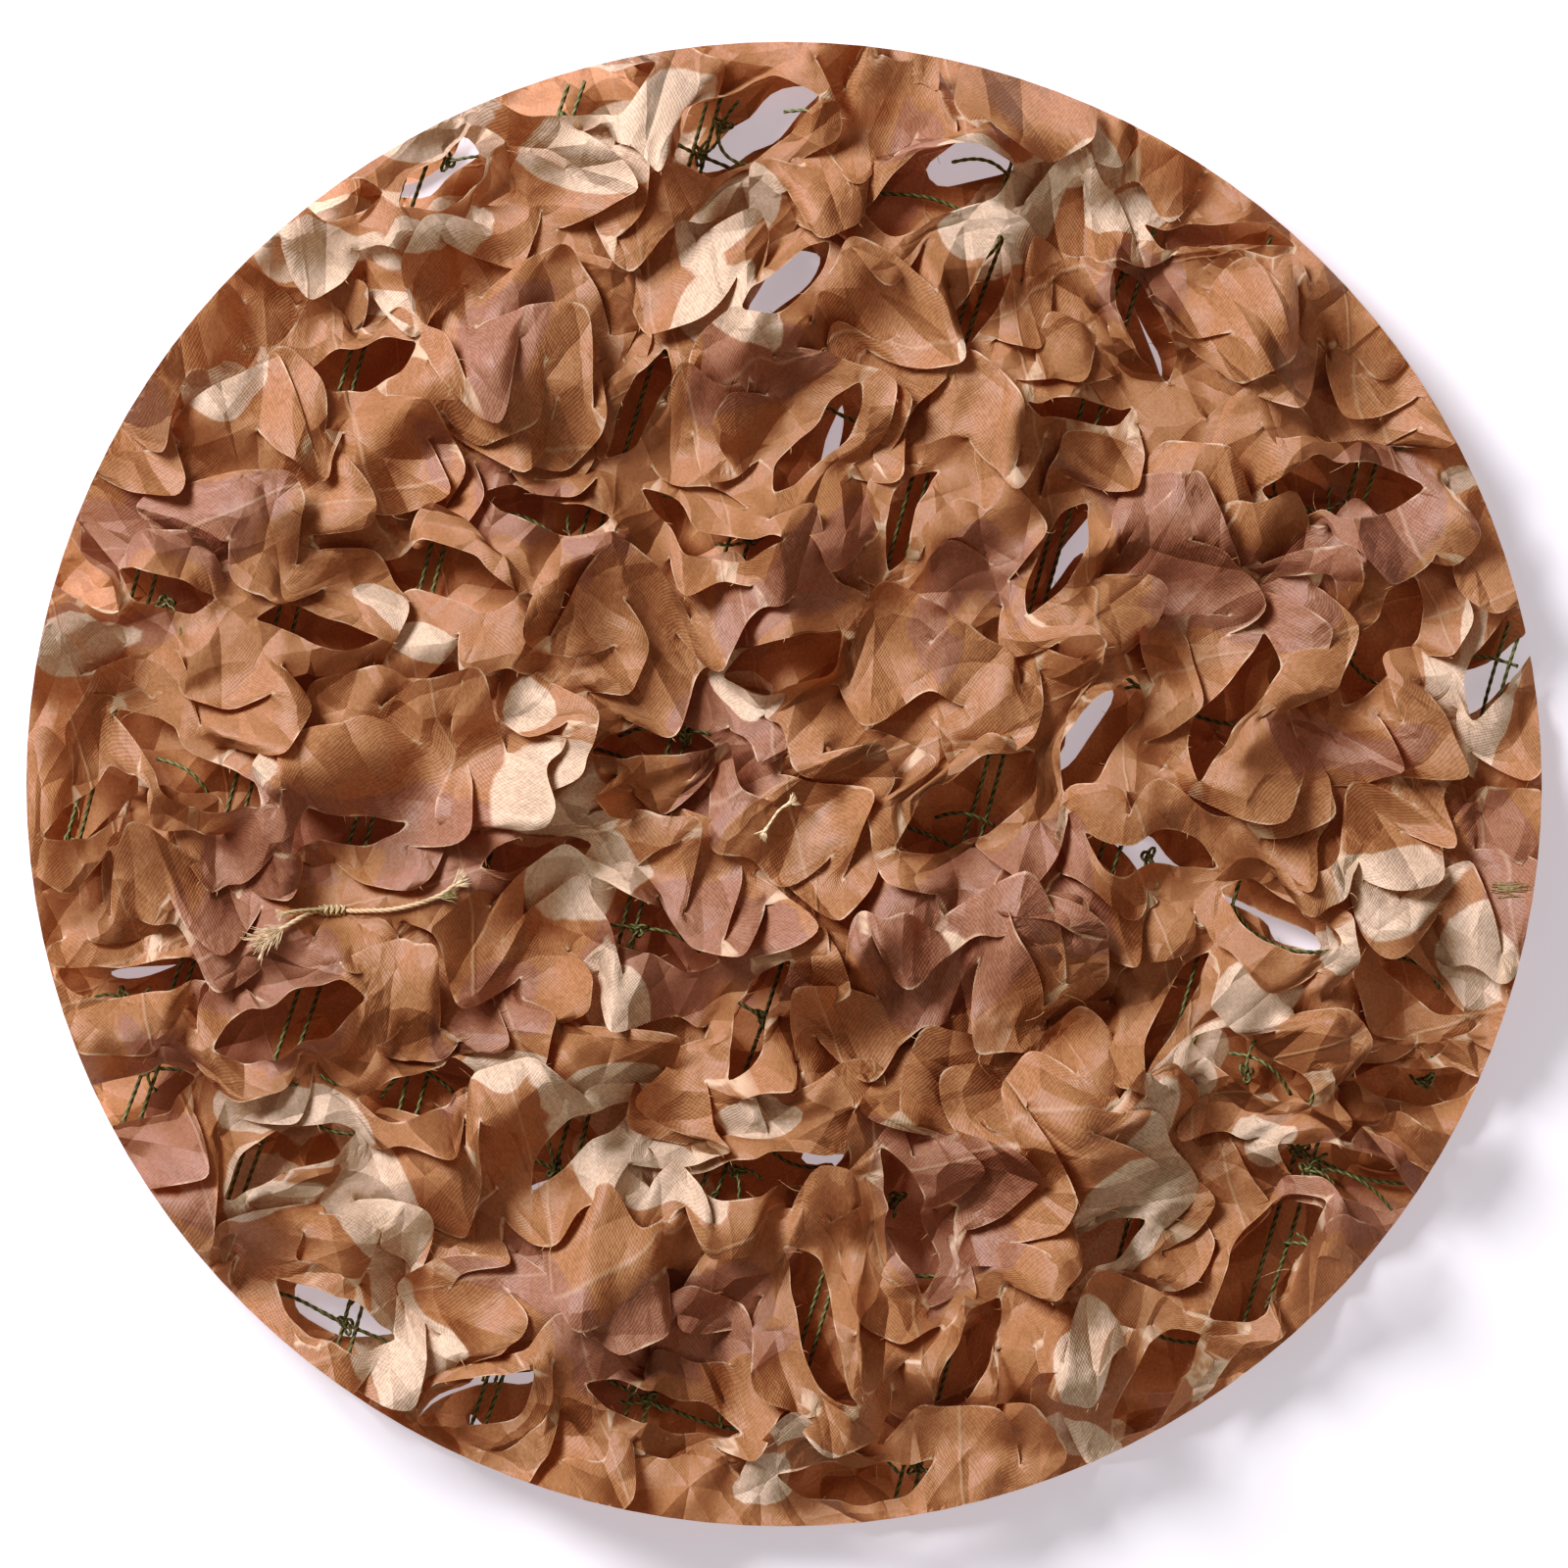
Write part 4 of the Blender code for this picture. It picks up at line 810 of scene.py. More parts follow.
def settleCloth(piece, held, floor, gather, how):
    # lets the sheet grow to its full size between the points where it is held, and fall
    group = piece.vertex_groups.new(name="held")
    group.add([int(i) for i in held], 1.0, "REPLACE")
    bpy.ops.mesh.primitive_plane_add(size=settling["ground"], location=(0, 0, floor - settling["contact"]))
    ground = bpy.context.object
    ground.modifiers.new("ground", "COLLISION")
    ground.collision.thickness_outer = settling["contact"]
    weave = piece.modifiers.new("cloth", "CLOTH")
    rules, touching = weave.settings, weave.collision_settings
    rules.shrink_min = 1 - gather
    rules.quality = how["quality"]
    rules.mass = how["mass"]
    rules.tension_stiffness = rules.compression_stiffness = how["stretch"]
    rules.shear_stiffness = how["shear"]
    rules.bending_stiffness = how["bend"]
    rules.tension_damping = rules.compression_damping = rules.shear_damping = settling["damping"]
    rules.bending_damping = settling["bendDamping"]
    rules.air_damping = settling["air"]
    rules.vertex_group_mass = "held"
    rules.effector_weights.gravity = how["gravity"]
    touching.distance_min = touching.self_distance_min = settling["contact"]
    touching.use_self_collision = how["selfContact"]
    touching.collision_quality = settling["contactQuality"]
    weave.point_cache.frame_end = how["frames"]
    scene = bpy.context.scene
    for step in range(1, how["frames"] + 1):
        scene.frame_set(step)
    shape = piece.evaluated_get(bpy.context.evaluated_depsgraph_get())
    settled = bpy.data.meshes.new_from_object(shape)
    piece.modifiers.clear()
    piece.vertex_groups.clear()
    piece.data = settled
    bpy.data.objects.remove(ground, do_unlink=True)
    scene.frame_set(1)


def readPlaces(mesh):
    places = np.zeros(len(mesh.vertices) * 3)
    mesh.vertices.foreach_get("co", places)
    return places.reshape(-1, 3)


def makeSheet(name, node, cloth, place, height, flat, gather, slits):
    # the piece from the opened flat cloth, once each corner has its place and height
    for corner, spot, z in zip(cloth.verts, place, height):
        corner.co = Vector((spot[0], spot[1], z))
    mesh = bpy.data.meshes.new(node)
    cloth.to_mesh(mesh)
    cloth.free()
    markCloth(mesh, flat, gather, slits)
    return addObject(name, mesh)


def heldRim(flat):
    return set(np.where(roundShare(flat[:, 0], flat[:, 1], -cuts["rimMargin"]) > cuts["clothLimit"])[0])


def settledPlaces(piece, held, floor, sheet):
    if sheet["settle"]["frames"]:
        settleCloth(piece, sorted(held), floor, sheet["gather"], sheet["settle"])
    places = readPlaces(piece.data)
    print(piece.name, "heights, mm:", np.round(np.percentile(places[:, 2], (0, 5, 50, 95, 100)) / mm, 1))
    return places


def keepLargest(cloth):
    # drops the scraps that the trimming leaves
    left = set(cloth.faces)
    largest = set()
    while left:
        seed = left.pop()
        group, stack = {seed}, [seed]
        while stack:
            for edge in stack.pop().edges:
                for other in edge.link_faces:
                    if other in left:
                        left.discard(other)
                        group.add(other)
                        stack.append(other)
        largest = max(largest, group, key=len)
    bmesh.ops.delete(cloth, geom=[face for face in cloth.faces if face not in largest], context="FACES")


def trimRound(mesh):
    # cuts the sheet to the round outline, as the camera sees it
    cloth = bmesh.new()
    cloth.from_mesh(mesh)
    halfLength, halfWidth = net["halfLength"], net["halfWidth"]
    for index in range(net["trimSides"]):
        angle = math.tau * (index + 0.5) / net["trimSides"]
        point = Vector((halfLength * math.cos(angle), halfWidth * math.sin(angle), view["height"]))
        tangent = Vector((-halfLength * math.sin(angle), halfWidth * math.cos(angle), 0))
        normal = tangent.cross(cameraPlace - point).normalized()
        if normal.dot(point) < 0:
            normal = -normal
        parts = list(cloth.verts) + list(cloth.edges) + list(cloth.faces)
        bmesh.ops.bisect_plane(cloth, geom=parts, dist=1e-6, plane_co=point, plane_no=normal,
                               clear_outer=True)
    keepLargest(cloth)
    cloth.to_mesh(mesh)
    cloth.free()


# the two sheets; a knot pulls the upper one down into a small star of folds
upper = {
    "gather": 1.0, "cutSize": 1.25, "pitch": 4.2 * mm, "level": 22 * mm, "ceiling": 58 * mm, "sink": 0.5 * mm,
    "knotReach": 23 * mm, "knotHeight": 2 * mm, "heldKnot": 3.5 * mm, "lowest": 1 * mm, "soft": 1.5 * mm,
    "starRise": 3.2 * mm, "starArms": 4, "starTurn": 30, "starMiddle": 7 * mm,
    "settle": {"quality": 8, "mass": 0.1, "stretch": 80.0, "shear": 50.0, "bend": 500.0, "gravity": 1.0,
               "frames": 3, "selfContact": True},
}
lower = {
    "gather": 1.18, "cutSize": 1.04, "pitch": 9 * mm, "level": 3 * mm, "ceiling": 11.2 * mm, "lift": 0.6,
    "pleatShare": 0.6, "lowest": 0.3 * mm, "soft": 0.8,
    "settle": {"quality": 6, "mass": 0.1, "stretch": 60.0, "shear": 30.0, "bend": 4.0, "gravity": 0.8,
               "frames": 30, "selfContact": False},
}
settling = {"contact": 2 * mm, "contactQuality": 2, "damping": 5, "bendDamping": 0.5, "air": 2, "ground": 1.4}


def nearTies(place):
    route = np.vstack([route for route in tieRoutes.values()] + [np.array([tie["knot"]]) * mm])
    away = np.hypot(place[:, None, 0] - route[None, :, 0], place[:, None, 1] - route[None, :, 1])
    nearest = np.argmin(away, axis=1)
    return away[np.arange(len(place)), nearest], route[nearest, 2]


def underTies(place, height):
    # keeps the sheet below the ties that lie on it
    away, top = nearTies(place)
    bed = top - tie["radius"] - tie["bedGap"]
    rise = np.maximum(away - tie["nearest"], 0) ** 2 / tie["press"]
    return np.minimum(height, bed + rise + tie["bedSlope"] * away)


def starHeight(place, height, knots):
    # the sheet pulled down to each knot that holds it, in folds that fan out of the knot
    for knot in knots:
        reach = np.hypot(*(place - knot).T)
        turn = np.arctan2(place[:, 1] - knot[1], place[:, 0] - knot[0])
        pull = np.maximum(0, 1 - reach / upper["knotReach"])
        height = height * (1 - pull) + (topFloor + upper["knotHeight"]) * pull
        star = zigzag(upper["starArms"] * turn / math.tau + upper["starTurn"] * knot[0])
        height += upper["starRise"] * star * pull * np.minimum(1, reach / upper["starMiddle"])
    return height


def makeUpper():
    chance = random.Random(seeds["upper"])
    plan = openCuts(topSlits, cuts["openGap"])
    addSpareCuts(plan, cuts["sparePitch"], cuts["spareRun"], chance, cuts["spareLaps"], cuts["shares"][:3])
    more = random.Random(seeds["upperSpare"])
    addSpareCuts(plan, cuts["smallPitch"], cuts["smallRun"], more, cuts["smallLaps"], cuts["smallShares"])
    slits = plan.slits
    beds = np.vstack([smoothRoute(tail, 2)[:, :2] * mm for tail in tie["tails"].values()])
    cloth, probes = slitCloth(slits, upper["pitch"], beds, chance)
    flat = np.array([v.co.to_tuple() for v in cloth.verts])[:, :2]
    move, lift = openSlits(flat, probes, slits)
    knots = clearKnots(slits)
    moved = flat + move
    height = upper["level"] + pleatHeight(moved[:, 0], moved[:, 1]) + foldHeight(moved[:, 0], moved[:, 1])
    height = starHeight(moved, height, knots)
    away, top = nearTies(flat)
    hold = np.exp(-(away / tie["press"]) ** 2)
    height = np.maximum(height + lift * (1 - hold), topFloor + upper["lowest"])
    height = underTies(flat, height * (1 - hold) + (top - tie["radius"] - tie["heldGap"]) * hold)
    place = flat + move * (1 - hold)[:, None]
    piece = makeSheet("cloth_upper", "upper_cloth", cloth, place, height, flat, upper["gather"], slits)
    print("upper cloth:", len(slits), "cuts,", len(height), "corners,", len(knots), "held knots")
    held = heldRim(flat) | set(np.where(away < tie["nearest"])[0])
    for knot in knots:
        reach = np.hypot(*(flat - knot).T)
        held |= set(np.where(reach < upper["heldKnot"])[0]) or {int(np.argmin(reach))}
    places = settledPlaces(piece, held, topFloor, upper)
    places[:, 2] = softLimit(places[:, 2], topFloor, upper["ceiling"], upper["soft"])
    places[:, 2] = np.maximum(underTies(places[:, :2], places[:, 2]), topFloor - upper["sink"])
    finishCloth(piece, places, "upper_cloth", upper["cutSize"])
    threads = frayCloth(piece, "threads_upper", random.Random(seeds["upperThreads"]), fringe["share"])
    return piece


def makeLower():
    chance = random.Random(seeds["lower"])
    slits = openCuts(lowSlits, cuts["lowGap"]).slits
    cloth, probes = slitCloth(slits, lower["pitch"], [], chance)
    flat = np.array([v.co.to_tuple() for v in cloth.verts])[:, :2]
    move, lift = openSlits(flat, probes, slits)
    place = flat + move
    height = lower["level"] + pleatHeight(-place[:, 0], place[:, 1], lower["pleatShare"])
    height = np.maximum(height + lower["lift"] * lift, lower["lowest"])
    piece = makeSheet("cloth_lower", "lower_cloth", cloth, place, height, flat, lower["gather"], slits)
    held = heldRim(flat) | {int(np.argmin(np.hypot(*(flat - knot).T))) for knot in clearKnots(slits)}
    places = settledPlaces(piece, held, 0.0, lower)
    room = lower["ceiling"]
    places[:, 2] = room * (1 - np.exp(-np.maximum(places[:, 2], 0) / (lower["soft"] * room)))
    finishCloth(piece, places, "lower_cloth", lower["cutSize"])
    threads = frayCloth(piece, "threads_lower", random.Random(seeds["lowerThreads"]), fringe["lowerShare"])
    return piece


def frayCloth(piece, name, chance, share):
    # loose threads along the cut edges, and a few long ones that hang from them
    mesh = bmesh.new()
    mesh.from_mesh(piece.data)
    edge = mesh.verts.layers.float["edgeDistance"]
    threads = Strings(name)
    for corner in mesh.verts:
        onCut = corner.is_boundary and corner[edge] <= fringe["nearest"]
        if not onCut or roundShare(corner.co.x, corner.co.y, fringe["margin"]) > 1:
            continue
        draw = chance.random()
        if draw > share:
            continue
        centres = [face.calc_center_median() for face in corner.link_faces]
        middle = sum(centres, Vector()) / len(centres)
        outward = (corner.co - middle).normalized()
        over = corner.normal if corner.normal.z > 0 else -corner.normal
        along = outward.cross(over)
        thread = fringe["long"] if draw < share * fringe["longShare"] else fringe["short"]
        reach = chance.uniform(thread.least, thread.most) * mm
        swing, bend = chance.uniform(-1, 1), chance.uniform(-1, 1)
        line = []
        for part in fibre["marks"]:
            aside = (swing * part + bend * part * part * thread.curl) * fringe["aside"]
            rise = (fringe["rise"] + fringe["riseSwing"] * bend) * part
            spot = corner.co - fringe["root"] * outward
            spot += reach * (part * thread.outward * outward + aside * along + rise * over)
            line.append((spot.x, spot.y, max(spot.z, fringe["lowest"])))
        threads.addCurve(line, 3, fringe["radius"], **fringe["tube"])
    mesh.free()
    threadPiece = threads.build(threadMaterial)
    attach(threadPiece, "root")
    print(name, len(threadPiece.data.polygons), "faces")
    return threadPiece


def finishCloth(piece, places, node, gather):
    # the settled sheet trimmed, smoothed and given its material
    piece.data.vertices.foreach_set("co", places.ravel())
    trimRound(piece.data)
    piece.data.shade_smooth()
    piece.data.materials.clear()
    piece.data.materials.append(clothMaterial("underPrintPaintedLight" if node == "lower_cloth" else "topPrint"))
    smooth = piece.modifiers.new("smooth", "SUBSURF")
    smooth.levels = smooth.render_levels = 1
    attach(piece, "root")
    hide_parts(node)
    share = sum(face.area for face in piece.data.polygons) / (math.pi * net["halfLength"] * net["halfWidth"])
    print(piece.name, "area is", round(share, 2), "times its plan")


# the printed cloth; "through" is how much light it lets through, and "lift" is painted light that makes the
# whole sheet below brighter, for the light that the cuts let in; distances from a cut edge and heights of
# relief are in mm
clothLook = {
    "base": (0.455, 0.212, 0.116), "mauve": (0.385, 0.182, 0.131), "pale": (0.69, 0.505, 0.385),
    "edge": (0.80, 0.57, 0.40), "worn": (0.74, 0.70, 0.66), "fresh": (1.24, 1.24, 1.24),
    "glow": (0.49, 0.15, 0.055), "through": {"topPrint": 0.18, "underPrintPaintedLight": 0.12}, "paleLoss": 0.5,
    "lift": {"topPrint": 1.0, "underPrintPaintedLight": 1.35}, "roughness": 0.52, "roughSwing": 0.25,
    "wander": 1.35, "paleWander": 0.8, "paleEdge": (-0.02, 0.03),
    "mauveShare": 0.5, "mauveDrift": 2.2, "mauveWander": 0.3, "mauveEdge": (-0.02, 0.02),
    "weave": 1.05 * mm, "weaveDepth": 0.21, "threads": 0.3, "fuzz": 0.9, "weaveBase": 0.05,
    "grain": 1.28, "wear": 0.5,
    "rim": (0.3, 0.85), "rimShare": 0.8, "rimBreaks": (0.38, 0.56), "rimLeast": 0.3, "rimMore": 0.8,
    "foldLine": 0.25, "foldRise": 0.25, "crumple": 0.9, "drift": 1.6, "facetScale": 27.0, "facetSlope": 0.45,
    "folds": (Crease(0.97, 0.24, 0.118, 0.008), Crease(-0.27, 0.96, 0.143, 0.007)),
    "creases": (Wave(47, 17, 0.13, 0.3), Wave(61, 71, 0.4, 0.28), Wave(38, 128, 0.7, 0.22)),
    "grains": {"wavy": Grain(22, 1, 0.5, 0.5), "wide": Grain(15, 2, 0.5, 0.8), "fine": Grain(900, 1, 0.6),
               "worn": Grain(140, 2, 0.65), "crumple": Grain(70, 2, 0.6), "drift": Grain(9, 0, 0.5)},
}


def creaseHeight(finish, x, y, place, drift):
    # pressed creases and flat facets, in mm
    look = clothLook
    total = 0.0
    for wave in look["creases"]:
        angle, length = math.radians(wave.direction), wave.length * mm
        along = x * (math.cos(angle) / length) + y * (math.sin(angle) / length)
        crease = (along + drift * look["drift"] + wave.phase).math("PINGPONG", 0.5)
        total = total + crease * (wave.rise * wave.length)
    facets = finish.node("ShaderNodeTexVoronoi", {"voronoi_dimensions": "2D", "feature": "DISTANCE_TO_EDGE"},
                         {"Vector": place, "Scale": look["facetScale"]})
    return total + facets * (look["facetSlope"] / mm / look["facetScale"])


def clothMaterial(name):
    look = clothLook
    finish = Finish(name)
    place = finish.attribute("clothPlace", "Vector")
    x = finish.node("ShaderNodeSeparateXYZ", {}, {0: place})
    y = Wire(finish, x.socket.node.outputs[1])
    noise = {kind: finish.noise(place, *grain) for kind, grain in look["grains"].items()}

    # the print: mauve and pale patches with wandering edges
    wander = (noise["wavy"] - 0.5) * look["wander"]
    paleMask = (finish.attribute("palePrint") + wander * look["paleWander"]).step(*look["paleEdge"])
    mauveField = (finish.attribute("mauvePrint") * look["mauveShare"]
                  + (noise["wide"] - 0.5) * look["mauveDrift"] + wander * look["mauveWander"])
    mauveMask = mauveField.step(*look["mauveEdge"])
    colour = finish.mix(mauveMask, look["base"], look["mauve"])
    colour = finish.mix(paleMask, colour, look["pale"])
    # painted light: the sheet below is made brighter all over, for the light that the cuts let in
    colour = finish.mix(1.0, colour, (look["lift"][name],) * 3, "MULTIPLY")

    # the weave and the wear
    warp, weft = ((axis * (math.tau / look["weave"])).math("SINE") for axis in (x, y))
    threads = warp * weft * look["threads"]
    weave = threads + noise["fine"] * look["fuzz"] + look["weaveBase"]
    shade = (noise["worn"] - 0.5) * look["wear"] + (weave - 0.5) * look["grain"]
    darker = finish.mix(1.0, colour, look["worn"], "MULTIPLY")
    lighter = finish.mix(1.0, colour, look["fresh"], "MULTIPLY")
    colour = finish.mix(shade + 0.5, darker, lighter)

    # pale along the cut edges, where the print is broken, and paler along two sets of straight lines where
    # the relief rises a little
    broken = noise["worn"].step(*look["rimBreaks"])
    rim = 1 - finish.attribute("edgeDistance").step(*look["rim"])
    rim = rim * (look["rimLeast"] + broken * look["rimMore"])
    colour = finish.mix(rim * look["rimShare"], colour, look["edge"])
    foldLine = 0.0
    for fold in look["folds"]:
        away = ((x * fold.alongX + y * fold.alongY) / fold.pitch).math("PINGPONG", 0.5)
        foldLine = (1 - away.step(0.0, fold.width)).math("MAXIMUM", foldLine)
    colour = finish.mix(foldLine * look["foldLine"], colour, look["edge"])
    finish.link(colour, "Base Color")
    finish.link(look["roughness"] + (noise["worn"] - 0.5) * look["roughSwing"], "Roughness")
    relief = (creaseHeight(finish, x, y, place, noise["drift"]) + noise["crumple"] * look["crumple"]
              + foldLine * look["foldRise"] + threads * look["weaveDepth"])
    finish.link(finish.bump(relief, 1 * mm), "Normal")

    # light that comes through from behind
    glow = finish.node("ShaderNodeBsdfTranslucent", {}, {"Color": (*look["glow"], 1.0)})
    through = (1 - paleMask * look["paleLoss"]) * look["through"][name]
    surface = Wire(finish, finish.shader.outputs[0])
    both = finish.node("ShaderNodeMixShader", {}, {0: through, 1: surface, 2: glow})
    finish.tree.links.new(both.socket, finish.output.inputs["Surface"])
    return finish.material


# frayed threads of the cut edges: the share of corners that bear one, short and long ones
fringe = {
    "share": 0.16, "lowerShare": 0.096, "longShare": 0.12,
    "short": Thread(1.5, 4, 0.5, 0.9), "long": Thread(7, 16, 1.2, 0.45),
    "radius": 0.13 * mm, "root": 0.3 * mm, "lowest": 0.3 * mm, "margin": 6 * mm, "nearest": 0.5,
    "aside": 0.7, "rise": 0.15, "riseSwing": 0.2, "colour": (0.88, 0.66, 0.46), "shade": (0.58, 0.34, 0.20),
    "tube": {"plies": 1, "sides": 3, "depth": 0.0, "step": 1.2 * mm, "taper": ((0, 0.7, 1), (1, 0.8, 0.4))},
}
threadMaterial = stringMaterial("frayedThread", fringe["colour"], fringe["shade"], 0.2)


def makeRimTuft(cloth):
    # a level bunch of frayed threads near the edge, dropped on the cloth from above
    chance = random.Random(seeds["rim"])
    spot = tie["rimTuft"]
    strings = Strings("string_rim")
    for index in range(tie["rimThreads"]):
        y = (spot.y + chance.gauss(0, tie["rimSpread"])) * mm
        x = (spot.x + chance.uniform(*tie["rimStarts"])) * mm
        length = chance.uniform(*tie["rimLengths"]) * mm
        bend = chance.uniform(-tie["rimBend"], tie["rimBend"]) * mm
        line = []
        for share in fibre["rimMarks"]:
            place = Vector((x + share * length, y + bend * share * share, spot.z * mm))
            hit, where, _, _ = cloth.ray_cast(place, Vector((0, 0, -1)))
            if hit:
                lift = (tie["rimLift"] + tie["rimStack"] * index) * mm
                line.append((where.x, where.y, where.z + lift))
        if len(line) == len(fibre["rimMarks"]):
            strings.addCurve(line, 3, fibre["rimRadius"], **fibre["tube"])
    piece = strings.build(stringMaterial("rimTuft", tie["tuftColour"], tie["knotShade"], 0.1))
    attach(piece, "root")


makeRimTuft(makeUpper())
print("upper cloth ready")
makeLower()
print("lower cloth ready")


# the cords' colours; dark is painted shade in the grooves between the two plies, and darker random patches
cordLook = {"light": (0.29, 0.30, 0.135), "dark": (0.014, 0.022, 0.008)}
# the slack cords as shares of their run, bulge and rise, and the knots with their loose ends
slackShape = ((0, 0, 0), (0.25, 0.75, 0.6), (0.5, 1, 1), (0.75, 0.7, 0.7), (1, 0, 0.1))
knotting = {
    "wide": 1.5 * mm, "tall": 0.9 * mm, "deep": 0.8 * mm, "petals": 1.7, "marks": 30, "lift": 0.4 * mm,
    "radius": 0.9, "lay": 3.0 * mm, "step": 1.0 * mm, "ends": (1, 2, 2), "endReach": (6, 15), "endBend": 0.8,
    "endRadius": 0.85, "endMarks": (0, 0.35, 0.7, 1.0), "endStep": 1.2 * mm,
    "endRise": 0.5, "endArch": 3.5, "endTop": 1.2,
}
slackStrands = [Strand(*row) for row in (
    (-43, 103, -11, 87, 5, 4), (174, 114, 200, 101, -14, 5), (-224, 9, -203, -8, 4, 5),
    (-59, 17, -35, 17, 3, 4), (3, 3, 31, -9, 5, 4), (54, -12, 75, -15, 3, 5), (-52, -52, -30, -60, 3, 4),
    (16, -70, 34, -77, 4, 4), (202, 44, 223, 42, -7, 6), (176, -23, 193, -34, 3, 4),
    (160, -43, 187, -64, -4, 6), (218, -62, 234, -73, 3, 4), (-144, -112, -118, -110, 9, 5),
    (-7, -128, 14, -137, -3, 4), (55, -137, 63, -153, 3, 4), (-36, -214, -22, -230, 4, 4),
    (20, -239, 41, -246, 4, 4), (159, -96, 181, -111, 4, 5), (189, -137, 217, -152, 4, 5),
    (0, 240, 20, 226, 6, 6), (-24, 236, -8, 220, -6, 5), (60, 222, 84, 212, 5, 5),
    (-184, -100, -168, -106, -4, 5), (178, -164, 196, -176, 5, 5), (248, 20, 259, 58, 0.6, 1),
    (253, 20, 262, 52, 0.6, 1), (242, 46, 262, 42, 1, 1.5),
)]
looseKnots = [Spot(*row) for row in (
    (-22, 235, 16), (-221, 65, 16), (-11, 88, 17), (222, 119, 17), (-35, 17, 16.5), (20, 3, 16.5),
    (200, 46, 17), (130, -26, 16.5), (-52, -52, 17), (-17, -138, 16.5), (165, -103, 17), (229, -106, 16.5),
    (187, -138, 17), (40, -148, 16.5), (-158, -108, 16.5), (-236, -76, 16.5), (72, 14, 17), (-120, 222, 16.5),
    (190, -168, 17),
)]


def clipPlan(line):
    # the stretches of a line that lie inside the round cut
    stretches, now = [], []
    for point in line:
        if roundShare(point[0], point[1], net["margin"]) <= 1:
            now.append(point)
        else:
            stretches.append(now)
            now = []
    return [stretch for stretch in (*stretches, now) if len(stretch) > 2]


def layCord(strings, line, chance):
    for stretch in clipPlan(line):
        strings.add(stretch, net["cordRadius"], lay=net["cordLay"], turn=chance.uniform(*net["anyTurn"]))


def layMains(strings, chance):
    # pairs of long cords that wander a little
    way, across = headings(net["mainTilt"])
    for main in net["mains"]:
        for half in (-0.5, 0.5):
            steps = net["mainStep"] * np.arange(-net["mainSteps"], net["mainSteps"] + 1)
            wander = main.sway * mm * np.sin(steps / net["mainWave"] + main.x)
            swing = 1 + net["pairSwing"] * np.cos(steps / net["pairWave"] + main.x)
            spread = half * net["pairSpacing"] * swing
            line = np.array([main.x * mm, 0]) + steps[:, None] * way - (wander + spread)[:, None] * across
            spots = np.hstack([line, np.full((len(line), 1), net["cordHeight"])])
            fine = evenRoute(smoothRoute(spots, 12), net["fineStep"])
            fine[:, 2] += np.sin(np.arange(len(fine)) * net["sagRate"] + main.x + half) * net["sag"]
            layCord(strings, fine, chance)


def layRows(strings, chance):
    # cross cords that hang slack from pair to pair, and run on past the last pair
    height = net["cordHeight"]
    for row in net["rows"]:
        knots = [crossing(main, row) for main in net["mains"]]
        knots = [2 * knots[0] - knots[1]] + knots + [2 * knots[-1] - knots[-2]]
        line = []
        for index, (start, end) in enumerate(zip(knots[:-1], knots[1:])):
            hang = row.slack * mm * (1 if index % 2 else -net["backHang"])
            middle = (start + end) / 2 + hang * sideways(start, end)
            line += [(*start, height), (*middle, height + chance.uniform(*net["rowDrop"]) * mm)]
        line.append((*knots[-1], height))
        layCord(strings, smoothRoute(line, 10), chance)


def laySlack(strings, chance):
    # cords that hang loose between the others, each a bow that stands up a little
    for strand in slackStrands:
        start, end = np.array([strand.x0, strand.y0]) * mm, np.array([strand.x1, strand.y1]) * mm
        across = sideways(start, end)
        line = []
        for share, bulge, rise in slackShape:
            spot = start + share * (end - start) + bulge * strand.bulge * mm * across
            line.append((*spot, net["cordHeight"] + net["slackLift"] + rise * strand.rise * mm))
        radius = net["cordRadius"] * net["slackRadius"]
        strings.addCurve(line, 6, radius, lay=net["cordLay"], turn=chance.uniform(*net["anyTurn"]))


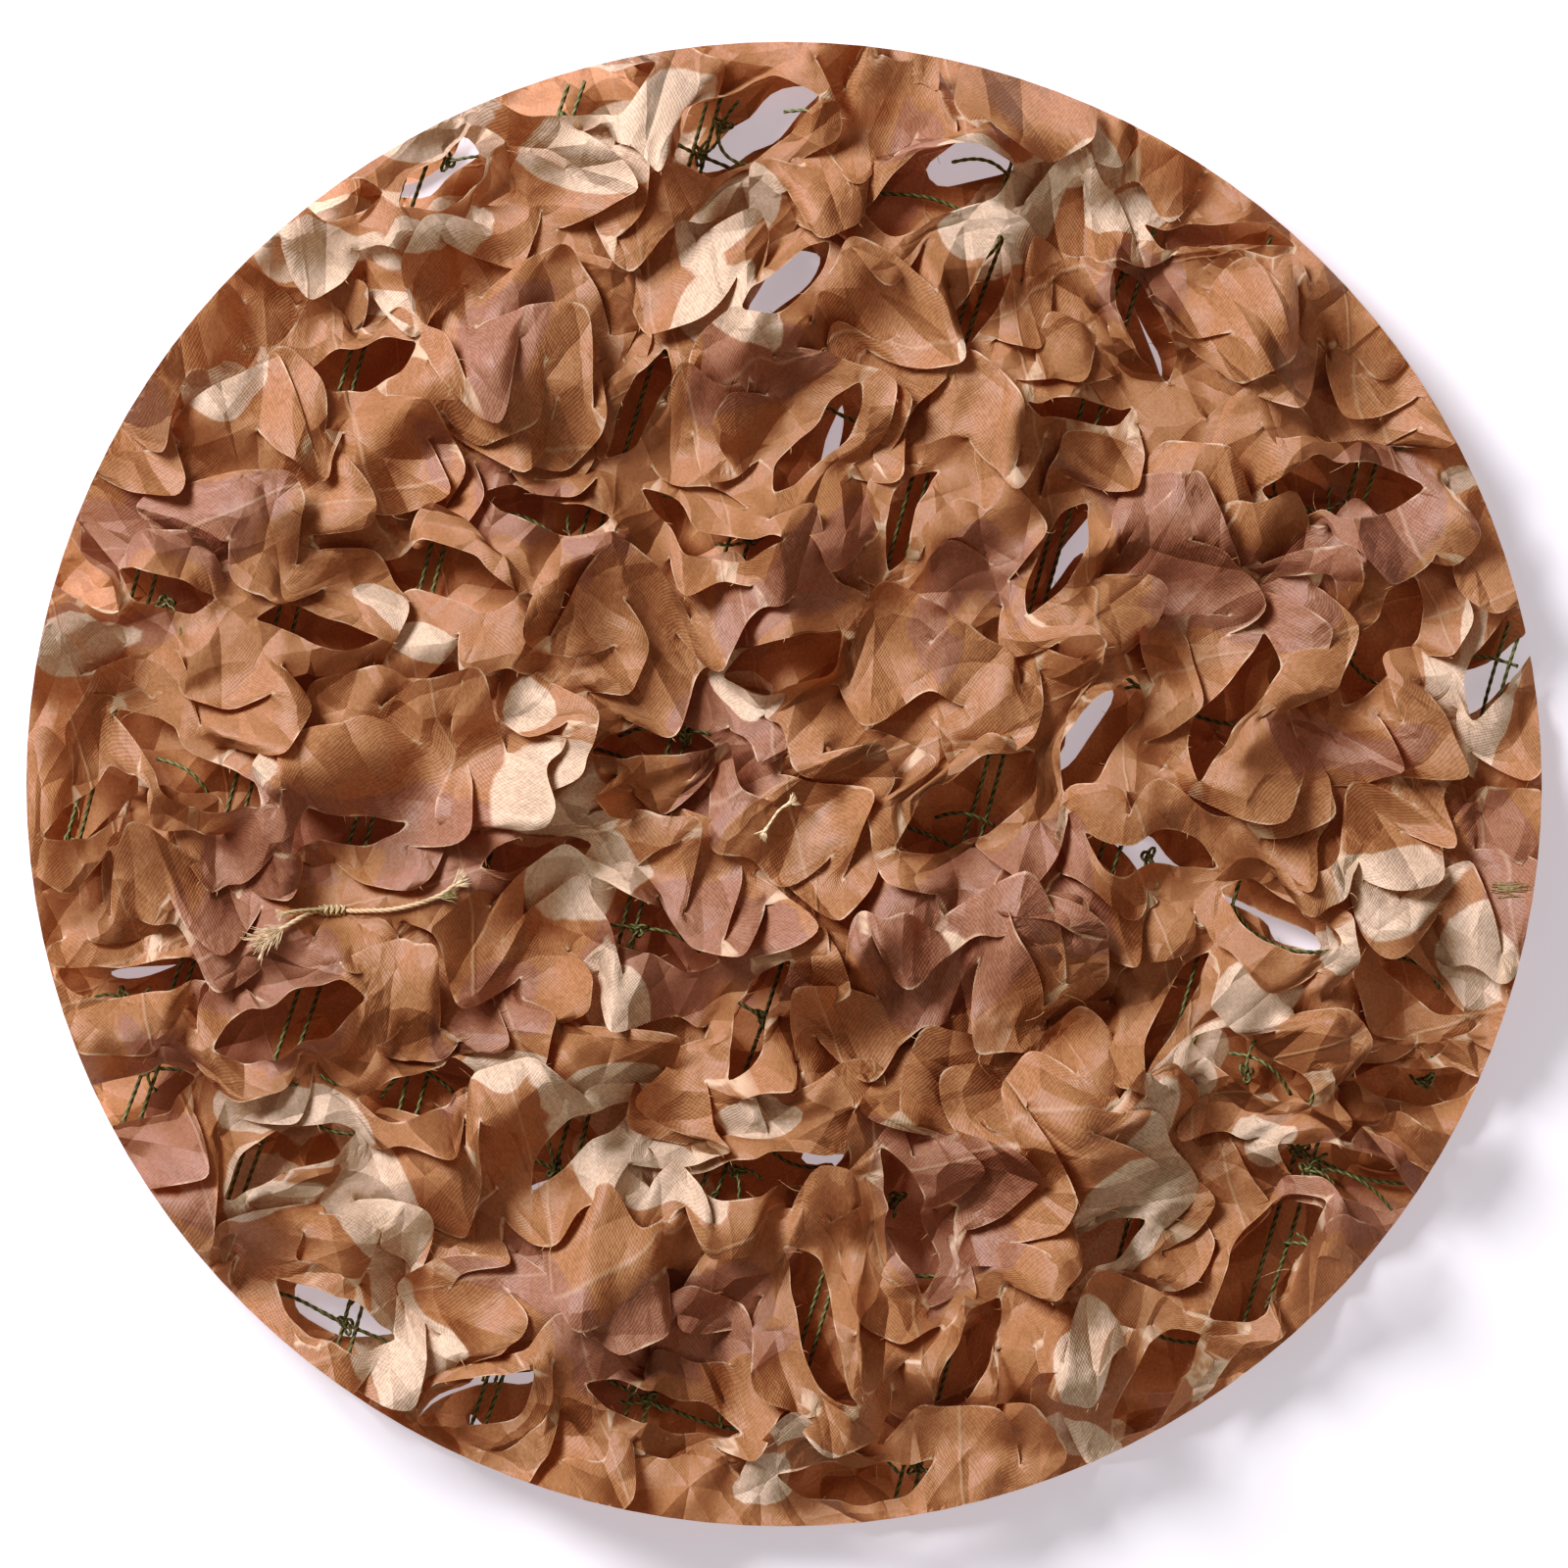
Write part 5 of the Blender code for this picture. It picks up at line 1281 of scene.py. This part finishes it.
def layKnots(strings, chance):
    # each knot is one turn of cord with three lobes, and has one or two loose ends
    places = [(*knot, net["cordHeight"] + knotting["lift"]) for knot in knotPoints()]
    for centre in np.array(places + [tuple(np.array(knot) * mm) for knot in looseKnots]):
        spin = chance.uniform(0, math.tau)
        turns = []
        for angle in [math.tau * mark / knotting["marks"] for mark in range(knotting["marks"] + 1)]:
            x = (math.sin(angle) + knotting["petals"] * math.sin(2 * angle)) * knotting["wide"]
            y = (math.cos(angle) - knotting["petals"] * math.cos(2 * angle)) * knotting["tall"]
            turned = (x * math.cos(spin) - y * math.sin(spin), x * math.sin(spin) + y * math.cos(spin))
            turns.append(centre + np.array([*turned, -math.sin(3 * angle) * knotting["deep"]]))
        strings.add(turns, net["cordRadius"] * knotting["radius"], lay=knotting["lay"], step=knotting["step"])
        for _ in range(chance.choice(knotting["ends"])):
            angle, reach = chance.uniform(0, math.tau), chance.uniform(*knotting["endReach"]) * mm
            bend = chance.uniform(-knotting["endBend"], knotting["endBend"])
            line = []
            for share in knotting["endMarks"]:
                swing = angle + bend * share
                away = (math.cos(swing) * reach * share, math.sin(swing) * reach * share)
                rise = knotting["endRise"] + knotting["endArch"] * share * (knotting["endTop"] - share)
                line.append(centre + np.array([*away, rise * mm]))
            strings.addCurve(line, 4, net["cordRadius"] * knotting["endRadius"], lay=knotting["lay"],
                             step=knotting["endStep"])


def makeNet():
    chance = random.Random(seeds["net"])
    strings = Strings("cord_net")
    for lay in (layMains, layRows, laySlack, layKnots):
        lay(strings, chance)
    piece = strings.build(stringMaterial("netCord", cordLook["light"], cordLook["dark"], 0.5, 0.75))
    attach(piece, "root")
    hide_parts("mesh_net")
    print("net:", len(piece.data.polygons), "faces")


makeNet()
print("net ready")

# one big key light at the upper left, a weak warm fill, and a floor of paper that glows a little
studio = {
    "key": 177.0, "keySize": 1.4, "keyPlace": (-2.03, 1.88, 2.03), "keyColour": (1.0, 0.98, 0.97),
    "fill": 5.6, "fillSize": 1.6, "fillPlace": (1.6, -1.2, 1.6), "fillColour": (1.0, 0.93, 0.84),
    "world": 0.28, "worldColour": (1.0, 0.93, 0.86), "floor": (0.78, 0.76, 0.84), "floorGlow": 0.41,
    "floorSize": 8, "floorRough": 0.9, "floorDrop": 0.1 * mm,
}


def makeLight(name):
    data = bpy.data.lights.new(name, "AREA")
    data.energy, data.size, data.color = studio[name], studio[name + "Size"], studio[name + "Colour"]
    lamp = addObject(name, data)
    lamp.location = studio[name + "Place"]
    lamp.rotation_euler = (-lamp.location).to_track_quat("-Z", "Y").to_euler()


def makeStudio():
    makeLight("key")
    makeLight("fill")
    world = bpy.data.worlds.new("studio")
    bpy.context.scene.world = world
    world.use_nodes = True
    sky = world.node_tree.nodes["Background"].inputs
    sky["Color"].default_value, sky["Strength"].default_value = (*studio["worldColour"], 1.0), studio["world"]
    bpy.ops.mesh.primitive_plane_add(size=studio["floorSize"], location=(0, 0, -studio["floorDrop"]))
    floor = bpy.context.object
    floor.name = "floor"
    finish = Finish("floorPaper")
    paper = (*studio["floor"], 1.0)
    for socket, value in (("Base Color", paper), ("Roughness", studio["floorRough"]),
                          ("Emission Color", paper), ("Emission Strength", studio["floorGlow"])):
        finish.shader.inputs[socket].default_value = value
    floor.data.materials.append(finish.material)


makeStudio()
print("studio ready")
